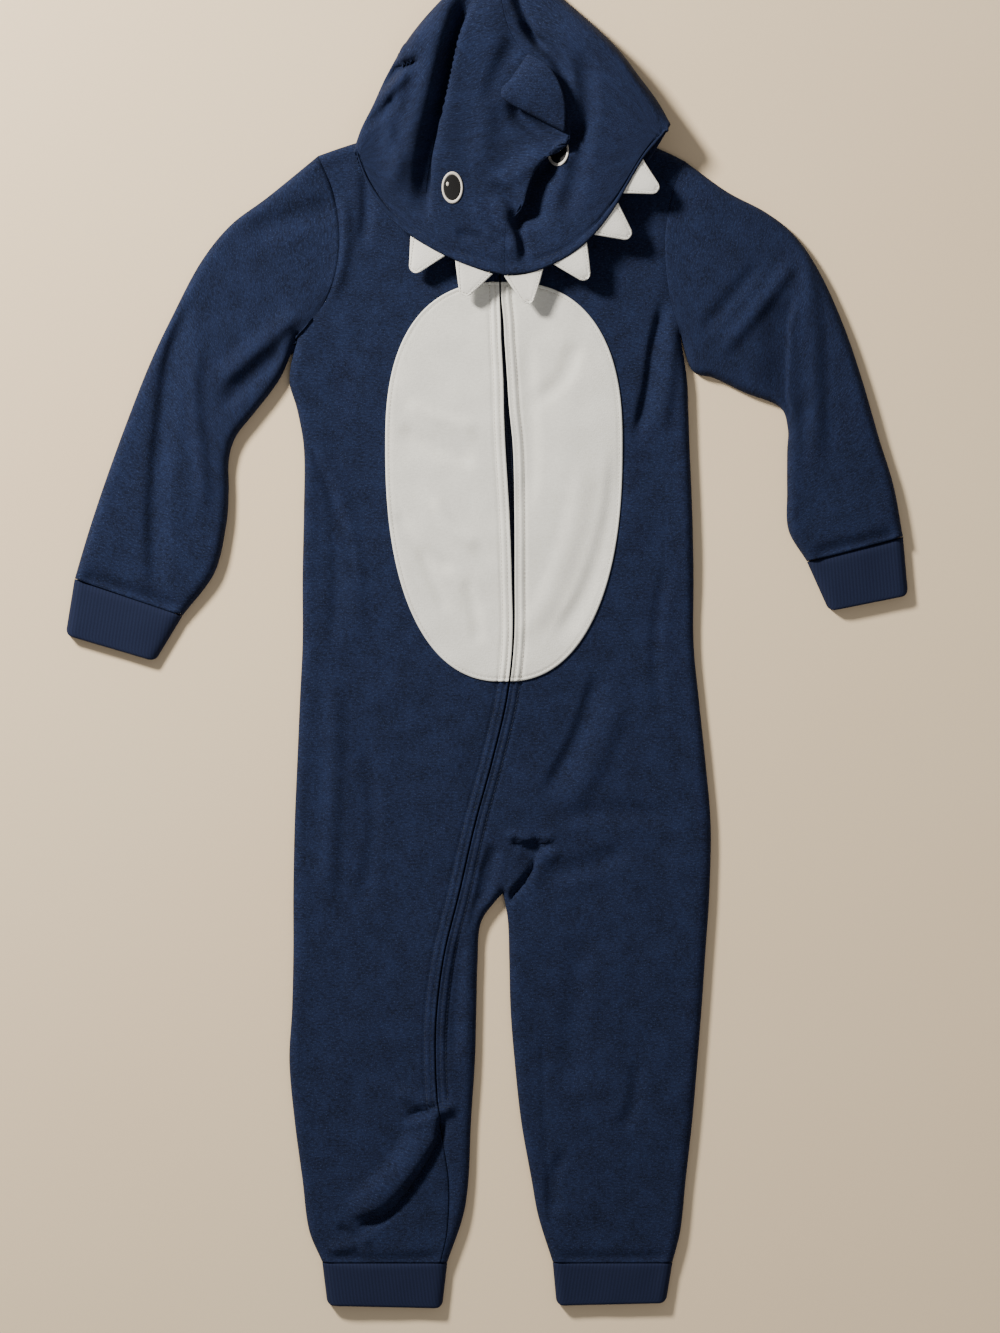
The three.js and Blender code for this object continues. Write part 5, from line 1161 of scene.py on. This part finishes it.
def hood_line(name, line, hem_places=None):
    """One line of the hood: open edge, over the folded side, back to the neck seam."""
    side = SIDES[name]
    hem_points, side_points = HOOD[name]
    hem = path_curve(hem_points)[0](hood_share["hem"](line))
    fold = path_curve(side_points)[0](hood_share["side"](line))
    neck_share = float(hood_share["neck"](line))
    if neck_share < 1:
        neck = back_neckline[name](neck_share) + [0, HOOD_NECK_GAP]
    else:
        neck = path_curve(side.neckline[::-1])[0](neck_share - 1)
        if abs(neck[0]) < 0.6:
            neck = np.array([side.sign * 0.6, neck[1]])
    front_length = np.linalg.norm(hem - fold)
    radius = min(HOOD_ROUND, front_length * 0.6)
    fold_low = sum(float(np.ravel(part)[0]) for part in hood_rest(name, fold[None], line))
    middle = fold_low + HOOD_FOLD_HALF
    if hem_places is None:
        near_hem = front_length - np.array([2.2, 1.4, 0.8, 0.4, 0.15, 0.0])
        places = np.concatenate([turn(radius, 7), np.linspace(radius, near_hem[0], 72)[1:-1], near_hem])
    else:
        places = front_length - np.array(hem_places, float)
    spots = mix(fold, hem, (places / front_length)[:, None])
    swing = SWING_BY * np.exp(-(((spots[:, 1] - SWING_AT) / SWING_REACH) ** 2))
    held = smooth(places / SWING_FROM) * smooth((front_length - places) / SWING_FROM)
    spots[:, 0] += swing * (1 - line) ** 1.5 * held
    low = hood_rest(name, spots, line)[0]
    least = np.where(spots[:, 1] < 590, np.maximum(low, HOOD_OVER_CHEST), low) + WALL + 1
    top = np.maximum.reduce([hood_top(spots), least, np.full(len(least), middle + 1)])
    from_hem = front_length - places
    # The open edge is turned in and topstitched, and the middle seam pulls in a little
    top += 1.1 * smooth((HEM_STITCH - from_hem) / 1.5) + groove(from_hem - HEM_STITCH, 1.5, 1.3)
    top -= 1.3 * (1 - rise(from_hem / 1.6))
    top += groove(line * 110, 0.2, 4.0)
    held = smooth(places / 20) * smooth((from_hem - 2) / 14)
    front = joined(spots + lapped(HOOD_LAPS, spots, held), mix(middle, top, rise(places / radius)))
    if hem_places is not None:
        return front
    back_length = np.linalg.norm(neck - fold)
    back_radius = min(HOOD_BACK_ROUND, back_length * 0.3)
    places = np.concatenate([turn(back_radius, 5)[1:], np.linspace(back_radius, back_length, 26)[1:]])
    spots = mix(fold, neck, (places / back_length)[:, None])
    bulge = CHEEK_BULGE * min(max((line - 0.5) * 2, 0), 1) * np.sin(math.pi * places / back_length)
    spots = spots + bulge[:, None] * [side.sign * CHEEK_OUT[0], CHEEK_OUT[1]]
    low, lift = hood_rest(name, spots, line)
    low = low + lift * smooth(1 - places / (0.7 * back_length))
    back = joined(spots, mix(middle, low, rise(places / back_radius)))
    return np.concatenate([front[::-1], back])


def build_hood():
    shares = np.concatenate([[0, 0.004, 0.009, 0.016, 0.026], np.linspace(0.04, 1, 62)])
    halves = {}
    for name in SIDES:
        lines = np.stack([hood_line(name, share) for share in shares])
        sign = SIDES[name].sign
        step = lines[1] - lines[0]
        lines[0] += HOOD_PARTING * step / np.linalg.norm(step, axis=1)[:, None]
        rows, columns = lines.shape[:2]
        points = lines.reshape(-1, 3)
        run = np.concatenate([[0], np.cumsum(np.linalg.norm(np.diff(lines[8], axis=0), axis=1))])
        uv = np.stack([np.repeat(shares * sign * 120, columns), np.tile(run, rows)], axis=1)
        quads = grid_quads(rows, columns, flip=sign > 0)
        piece = closed_wall(f"hood_{name}_fleece", points, quads, WALL, uv, NAVY_FLEECE)
        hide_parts(f"hood_{name}")
        halves[name] = (points, quads)
    return halves


def surface_tree(surfaces):
    points, faces, count = [], [], 0
    for surface_points, quads in surfaces:
        points.append(surface_points)
        faces.append(quads + count)
        count += len(surface_points)
    return BVHTree.FromPolygons(np.concatenate(points).tolist(), np.concatenate(faces).tolist())


def heights_on(tree, spots, fallback=HOOD_OVER_CHEST):
    heights = []
    for x, y in spots:
        hit = tree.ray_cast(Vector((x, y, 200.0)), Vector((0, 0, -1)))[0]
        heights.append(hit.z if hit else fallback)
    return np.array(heights)


def heights_around(tree, spots, reach):
    best = heights_on(tree, spots)
    for i in range(8):
        angle = i * math.pi / 4
        best = np.maximum(best, heights_on(tree, spots + [reach * math.cos(angle), reach * math.sin(angle)]))
    return best


def build_fin(tree):
    root_at, _ = path_curve(FIN_ROOT)
    tip_at, _ = path_curve(FIN_TIP)
    along = np.linspace(0, 1, 37)
    out = np.concatenate([np.linspace(0, 0.94, 26), [0.965, 0.985, 1]])
    spots = mix(root_at(along)[:, None, :], tip_at(along)[:, None, :], out[None, :, None])
    rows, columns = spots.shape[:2]
    spots = spots.reshape(-1, 2)
    a, o = np.repeat(along, columns), np.tile(out, rows)
    rest = heights_around(tree, spots, 7.0) + SEAM_GAP + FIN_LIFT * np.sin(o * math.pi / 2)
    smoothed = rest.reshape(rows, columns)
    for _ in range(6):
        padded = np.pad(smoothed, 1, mode="edge")
        smoothed = np.maximum(
            smoothed,
            (padded[:-2, 1:-1] + padded[2:, 1:-1] + padded[1:-1, :-2] + padded[1:-1, 2:]) / 4,
        )
    low = smoothed.reshape(-1)
    rim = np.minimum(np.minimum(a, 1 - a) * 46, (1 - o) * 40)
    puff = FIN_THICK * np.sin(math.pi * a) ** 0.7 * np.sin(math.pi * mix(0.28, 1, o)) ** 0.8
    top = low + FIN_RIM * (0.35 + 0.65 * rise(rim / 2.2)) + puff + groove(rim - 3.2, 0.4, 0.8)
    piece = closed_wall(
        "fin_fleece", joined(spots, top), grid_quads(rows, columns, flip=False), 0, spots, NAVY_FLEECE,
        inner=joined(spots, low),
    )
    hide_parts("fin")
    return piece


def hem_path():
    right, left = HOOD["right"][0], HOOD["left"][0]
    at, length = path_curve([*right[::-1], *left[1:]])
    return at, length, path_curve(right)[1]


def hem_frame(at, length, middle, place):
    share = np.clip((middle + place) / length, 0.005, 0.995)
    step = at(share + 0.004) - at(share - 0.004)
    step = step / np.linalg.norm(step, axis=-1, keepdims=True)
    return at(share), np.stack([step[..., 1], -step[..., 0]], axis=-1)


def tooth_spots(from_middle, tucked, across_share, length_share):
    """Plan places on a tooth and the hood's open edge beside each, for shares across and out."""
    at, length, middle = hem_path()
    here, out = hem_frame(at, length, middle, np.array(from_middle, float))
    base, base_out = hem_frame(at, length, middle, from_middle + across_share * TOOTH_BASE / 2)
    if tucked:
        inside = (2 + TOOTH_LENGTH * length_share)[:, None]
        narrow = mix(1, 0.2, length_share)[:, None]
        return mix(here - out * inside, base - base_out * inside, narrow), base
    from_tip = (1 - length_share) * TOOTH_LENGTH
    round_half = np.sqrt(np.maximum(from_tip * (2 * TOOTH_TIP - from_tip), 0.04))
    half = np.where(
        from_tip < TOOTH_TIP / 2, round_half,
        mix(TOOTH_TIP * 0.866, TOOTH_BASE / 2, (from_tip - TOOTH_TIP / 2) / (TOOTH_LENGTH - TOOTH_TIP / 2)),
    )
    side = np.array([-out[1], out[0]])
    straight = here + out * (TOOTH_LENGTH * length_share)[:, None] + side * (across_share * half)[:, None]
    return mix(base + base_out * TOOTH_GAP, straight, smooth(length_share * 1.6)[:, None]), base


def build_tooth(number, from_middle):
    tucked = number <= TUCKED_TEETH
    across_share = np.concatenate([[-1, -0.96, -0.9], np.linspace(-0.82, 0.82, 14), [0.9, 0.96, 1]])
    length_share = np.concatenate([np.linspace(0, 0.88, 14), [0.91, 0.94, 0.965, 0.985, 0.996, 1]])
    a, o = np.tile(across_share, len(length_share)), np.repeat(length_share, len(across_share))
    spots, base = tooth_spots(from_middle, tucked, a, o)
    half = mix(TOOTH_BASE / 2, TOOTH_TIP * 0.6, o)
    rim = np.minimum((1 - np.abs(a)) * half, (1 - o) * TOOTH_LENGTH)
    if tucked:
        top = np.full(len(a), HOOD_OVER_CHEST + WALL + TUCKED_RISE + TOOTH_THICK)
    else:
        wave = 0.8 * np.sin(number * 2.3 + o * 2.2) * o
        top = hood_top(base) - 0.2 - TOOTH_DROOP * o + wave
    relief = 0.5 * (1 - (a**2)) * np.sin(math.pi * np.clip(o, 0, 1)) + groove(rim - 2.0, 0.45, 0.6)
    upper = top - TOOTH_THICK * 0.45 * (1 - rise(rim / 0.9)) + relief
    lower = top - TOOTH_THICK + TOOTH_THICK * 0.3 * (1 - rise(rim / 0.9))
    quads = grid_quads(len(length_share), len(across_share))
    outer = joined(spots, upper)
    if surface_normals(outer, quads)[:, 2].sum() < 0:
        quads = quads[:, ::-1]
    piece = closed_wall(f"tooth_{number}_fleece", outer, quads, 0, spots, TOOTH_FLEECE, inner=joined(spots, lower))
    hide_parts(f"tooth_{number}")
    return piece


def polar_grid(middle, half, inner_ring, outer_ring, rings, around):
    rings = np.linspace(outer_ring, inner_ring, rings)
    angles = np.linspace(0, 2 * math.pi, around, endpoint=False)
    x = middle[0] + half[0] * rings[:, None] * np.cos(angles)[None]
    y = middle[1] + half[1] * rings[:, None] * np.sin(angles)[None]
    return np.stack([x, y], axis=-1).reshape(-1, 2), rings


def eye_rest(tree, name, spots):
    """The hood's surface under an eye. The left eye runs under the ridge that laps over it."""
    if name == "left":
        least = HOOD_OVER_CHEST + WALL + 1
        lap = HOOD_LAPS[1]
        side = nearest_on(lap.path, spots)[2] * lap.ridge
        return np.where(side > 0, least, np.maximum(hood_top(spots), least)) + SEAM_GAP
    return heights_around(tree, spots, 1.5) + SEAM_GAP


def build_eye(name, tree):
    """An embroidered eye: a raised satin ring, and a dark pupil inside it with a small light."""
    middle, around = EYES[name], 64
    spots, rings = polar_grid(middle, EYE_HALF, EYE_RING, 1.0, 9, around)
    rest = eye_rest(tree, name, spots)
    across_ring = np.repeat((rings - EYE_RING) / (1 - EYE_RING), around)
    dome = EYE_WHITE * (0.4 + 0.8 * np.sin(math.pi * across_ring) ** 0.6)
    quads = grid_quads(len(rings), around, closed=True)
    outer = joined(spots, rest + dome)
    if surface_normals(outer, quads)[:, 2].sum() < 0:
        quads = quads[:, ::-1]
    white = closed_wall(
        f"eye_{name}_ring", outer, quads, 0, spots, EYE_THREAD_WHITE, inner=joined(spots, rest)
    )
    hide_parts(f"eye_{name}")
    spots, rings = polar_grid(middle, EYE_HALF, 0.04, EYE_RING + 0.03, 9, around)
    rest = eye_rest(tree, name, spots)
    dome = EYE_PUPIL * (0.5 + 0.7 * np.sqrt(1 - np.repeat(rings / (EYE_RING + 0.04), around) ** 2))
    quads = grid_quads(len(rings), around, closed=True)
    last = list(range((len(rings) - 1) * around, len(rings) * around))
    outer = joined(spots, rest + dome)
    if surface_normals(outer, quads)[:, 2].sum() < 0:
        quads, last = quads[:, ::-1], last
    else:
        last = last[::-1]
    pupil = closed_wall(
        f"pupil_{name}_satin", outer, quads, 0, spots, EYE_THREAD_BLACK, inner=joined(spots, rest), caps=[last[::-1]]
    )
    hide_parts(f"pupil_{name}")
    light_middle = (middle[0] - 3.6, middle[1] + 2.6)
    spots, rings = polar_grid(light_middle, (1.1, 1.6), 0.1, 1.0, 4, 20)
    rest = eye_rest(tree, name, spots) + EYE_PUPIL
    dome = 0.45 * np.sqrt(np.maximum(0, 1 - np.repeat(rings, 20) ** 2)) + 0.35
    quads = grid_quads(len(rings), 20, closed=True)
    last = list(range((len(rings) - 1) * 20, len(rings) * 20))
    outer = joined(spots, rest + dome)
    if surface_normals(outer, quads)[:, 2].sum() < 0:
        quads, last = quads[:, ::-1], last
    else:
        last = last[::-1]
    closed_wall(
        f"eye_light_{name}", outer, quads, 0, spots, EYE_THREAD_WHITE, inner=joined(spots, rest), caps=[last[::-1]]
    )


# Stitches and zip coils: one small rounded thread, repeated along lines
def stitch_tree():
    tree = bpy.data.node_groups.new("rows_of_thread", "GeometryNodeTree")
    face = tree.interface
    face.new_socket("Geometry", in_out="INPUT", socket_type="NodeSocketGeometry")
    for name, kind in (
        ("Pitch", "Float"), ("Length", "Float"), ("Thickness", "Float"), ("Turn", "Float"),
        ("Wander", "Float"), ("Seed", "Int"), ("Thread", "Material"),
    ):
        face.new_socket(name, in_out="INPUT", socket_type=f"NodeSocket{kind}")
    face.new_socket("Geometry", in_out="OUTPUT", socket_type="NodeSocketGeometry")
    given = add(tree, "NodeGroupInput")
    curve = add(tree, "GeometryNodeMeshToCurve", links={"Mesh": given.outputs["Geometry"]})
    spaced = add(
        tree, "GeometryNodeResampleCurve", links={"Curve": curve.outputs[0], "Length": given.outputs["Pitch"]},
        mode="LENGTH",
    )
    spots = add(tree, "GeometryNodeCurveToPoints", links={"Curve": spaced.outputs[0]}, mode="EVALUATED")
    wander = add(
        tree, "FunctionNodeRandomValue", {2: -1.0, 3: 1.0}, {"Seed": given.outputs["Seed"]}, data_type="FLOAT"
    )
    angle = add(
        tree, "ShaderNodeMath",
        links={0: wander.outputs[1], 1: given.outputs["Wander"], 2: given.outputs["Turn"]},
        operation="MULTIPLY_ADD",
    )
    heading = add(
        tree, "ShaderNodeVectorRotate", {"Axis": (0.0, 0.0, 1.0)},
        {"Vector": spots.outputs["Tangent"], "Angle": angle.outputs[0]}, rotation_type="AXIS_ANGLE",
    )
    lined = add(
        tree, "FunctionNodeAlignRotationToVector", links={"Vector": heading.outputs[0]}, axis="X"
    )
    size = add(
        tree, "ShaderNodeCombineXYZ",
        links={"X": given.outputs["Length"], "Y": given.outputs["Thickness"], "Z": given.outputs["Thickness"]},
    )
    thread = add(tree, "GeometryNodeMeshUVSphere", {"Segments": 6, "Rings": 5, "Radius": 0.5})
    flat = add(
        tree, "GeometryNodeTransform", {"Rotation": (0.0, math.pi / 2, 0.0)}, {"Geometry": thread.outputs[0]}
    )
    placed = add(
        tree, "GeometryNodeInstanceOnPoints",
        links={
            "Points": spots.outputs["Points"], "Instance": flat.outputs[0],
            "Rotation": lined.outputs[0], "Scale": size.outputs[0],
        },
    )
    real = add(tree, "GeometryNodeRealizeInstances", links={"Geometry": placed.outputs[0]})
    soft = add(tree, "GeometryNodeSetShadeSmooth", links={"Geometry": real.outputs[0]})
    dressed = add(
        tree, "GeometryNodeSetMaterial",
        links={"Geometry": soft.outputs[0], "Material": given.outputs["Thread"]},
    )
    add(tree, "NodeGroupOutput", links={"Geometry": dressed.outputs[0]})
    return tree


THREAD_ROWS = stitch_tree()


def sew(name, lines, pitch, length, thickness, thread, turned=0.0, wander=0.05, seed=1):
    """Rows of stitches along lines of points in millimetres, as one plain mesh."""
    points, edges, count = [], [], 0
    for line in lines:
        points.append(line)
        edges += [(count + i, count + i + 1) for i in range(len(line) - 1)]
        count += len(line)
    mesh = bpy.data.meshes.new(f"{name}_line")
    mesh.from_pydata(((np.concatenate(points) + SHIFT) * MM).tolist(), edges, [])
    piece = bpy.data.objects.new(name, mesh)
    bpy.context.scene.collection.objects.link(piece)
    rows = piece.modifiers.new("thread", "NODES")
    rows.node_group = THREAD_ROWS
    values = {
        "Pitch": pitch * MM, "Length": length * MM, "Thickness": thickness * MM, "Turn": turned,
        "Wander": wander, "Seed": seed, "Thread": thread,
    }
    for item in THREAD_ROWS.interface.items_tree:
        if item.in_out == "INPUT" and item.name in values:
            rows[item.identifier] = values[item.name]
    evaluated = piece.evaluated_get(bpy.context.evaluated_depsgraph_get())
    piece.data = bpy.data.meshes.new_from_object(evaluated)
    piece.modifiers.clear()
    pieces[name] = piece
    return piece


def on_front(line, lift):
    spots = np.array(line, float)
    return joined(spots, front_height(spots) + lift)


def zip_side_line(name, away, low, high):
    y = np.arange(low, high, 3.0)
    x = zip_line(y) + SIDES[name].sign * (zip_opening(y) + away)
    return np.stack([x, y], axis=1)


BELLY_LOW_ZIP = 165.0
BELLY_HIGH_ZIP = 462.0


def sew_everything():
    navy, white = [], []
    for name in SIDES:
        for away in (3.2, 7.4):
            navy.append(on_front(zip_side_line(name, away, ZIP_END_Y, BELLY_LOW_ZIP - 4), 0.05))
            line = zip_side_line(name, away, BELLY_LOW_ZIP, BELLY_HIGH_ZIP)
            white.append(joined(line, belly_height(line) + 0.05))
    end_y = ZIP_END_Y - 3
    ends = [zip_line(end_y) + offset for offset in (-8, -4, 0, 4, 8)]
    navy.append(on_front([(x, end_y) for x in ends], 0.05))
    inside = belly_outline(BELLY_STITCH_INSET)
    away = np.abs(inside[:, 0] - zip_line(inside[:, 1])) - zip_opening(inside[:, 1])
    runs = np.split(np.arange(len(inside)), np.flatnonzero(np.diff((away > 3).astype(int))) + 1)
    for run in runs:
        if away[run[0]] > 3 and len(run) > 2:
            white.append(joined(inside[run], belly_height(inside[run]) + 0.05))
    hood_hem = [
        np.concatenate([hood_line(name, share, [HEM_STITCH]) for share in np.linspace(0.01, 0.97, 90)])
        for name in SIDES
    ]
    navy += [line + [0, 0, 0.15] for line in hood_hem]
    sew("stitches_navy", navy, 3.2, 2.5, 0.55, NAVY_THREAD, seed=5)
    sew("stitches_belly", white, 3.0, 2.3, 0.5, WHITE_THREAD, seed=6)
    teeth = []
    for number, from_middle in enumerate(TEETH, 1):
        if number <= TUCKED_TEETH:
            continue
        up = np.linspace(0.04, 0.9, 12)
        a = np.concatenate([np.full(12, -0.8), [-0.4, 0, 0.4], np.full(12, 0.8)])
        o = np.concatenate([up, [0.9, 0.9, 0.9], up[::-1]])
        spots, base = tooth_spots(from_middle, False, a, o)
        wave = 0.8 * np.sin(number * 2.3 + o * 2.2) * o
        teeth.append(joined(spots, hood_top(base) - 0.2 - TOOTH_DROOP * o + wave + 0.1))
    sew("stitches_teeth", teeth, 2.4, 1.8, 0.4, WHITE_THREAD, seed=7)
    y = np.arange(ZIP_END_Y + 2, 484, 2.0)
    coils = []
    for offset in (-1.25, 1.25):
        spots = np.stack([zip_line(y) + offset, y], axis=1)
        coils.append(joined(spots, top_height(spots)[0] - WALL - 2 * SEAM_GAP + 0.5))
    sew("zip_coils", coils, 1.5, 2.9, 1.15, ZIP_COIL, turned=math.pi / 2, wander=0.0)


build_front("right")
build_front("left")
build_back("right")
build_back("left")
build_belly("right")
build_belly("left")
build_zip_tape()
build_sleeve("right")
build_sleeve("left")
for cuff_name in CUFFS:
    build_cuff(cuff_name)
hood_halves = build_hood()
hood_surface = surface_tree(hood_halves.values())
build_fin(hood_surface)
for tooth_number, tooth_place in enumerate(TEETH, 1):
    build_tooth(tooth_number, tooth_place)
for eye_name in EYES:
    build_eye(eye_name, hood_surface)
sew_everything()

for node_name in ("zip_slider", "zip_tab"):
    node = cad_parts[node_name]
    node.data.materials.clear()
    node.data.materials.append(ZIP_METAL)

for name, piece in pieces.items():
    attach(piece, "root")
    if name.startswith("belly") or name == "stitches_belly":
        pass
    elif name.startswith("tooth") or name == "stitches_teeth":
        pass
    elif name.startswith("eye_light"):
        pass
    elif name == "zip_coils":
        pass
    elif name == "stitches_navy":
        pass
    else:
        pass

# Floor, light and camera. The view is 1000 by 1333 pixels of 0.76 mm, centred on the photograph.
floor_mesh = bpy.data.meshes.new("floor")
floor_mesh.from_pydata([(-4, -4, -0.0002), (4, -4, -0.0002), (4, 4, -0.0002), (-4, 4, -0.0002)], [], [(0, 1, 2, 3)])
floor_mesh.materials.append(FLOOR_PAINT)
floor = bpy.data.objects.new("floor", floor_mesh)
bpy.context.scene.collection.objects.link(floor)

PIXEL = 0.76
VIEW_MIDDLE = (0.0, (893 - 666.5) * PIXEL)
CAMERA_HEIGHT = 4.5
camera_data = bpy.data.cameras.new("camera")
camera_data.sensor_width = 36.0
camera_data.lens = 36.0 * CAMERA_HEIGHT / (1333 * PIXEL * MM)
camera = bpy.data.objects.new("camera", camera_data)
camera.location = ((VIEW_MIDDLE[0] + SHIFT[0]) * MM, (VIEW_MIDDLE[1] + SHIFT[1]) * MM, CAMERA_HEIGHT)
bpy.context.scene.collection.objects.link(camera)
bpy.context.scene.camera = camera


def soft_light(name, place, size, watts, tint):
    data = bpy.data.lights.new(name, "AREA")
    data.shape = "DISK"
    data.size = size
    data.energy = watts
    data.color = colour(tint)[:3]
    light = bpy.data.objects.new(name, data)
    light.location = place
    aim = Vector((0.0, 0.0, 0.0)) - Vector(place)
    light.rotation_euler = aim.to_track_quat("-Z", "Y").to_euler()
    bpy.context.scene.collection.objects.link(light)


soft_light("key", (-1.35, 1.35, 1.25), 0.42, 106, "#fff6ea")
soft_light("fill", (0.9, -0.6, 2.2), 1.6, 7.6, "#f2e4d8")
world = bpy.data.worlds.new("studio")
world.use_nodes = True
world.node_tree.nodes["Background"].inputs["Color"].default_value = colour("#e9e6e4")
world.node_tree.nodes["Background"].inputs["Strength"].default_value = 0.26
bpy.context.scene.world = world
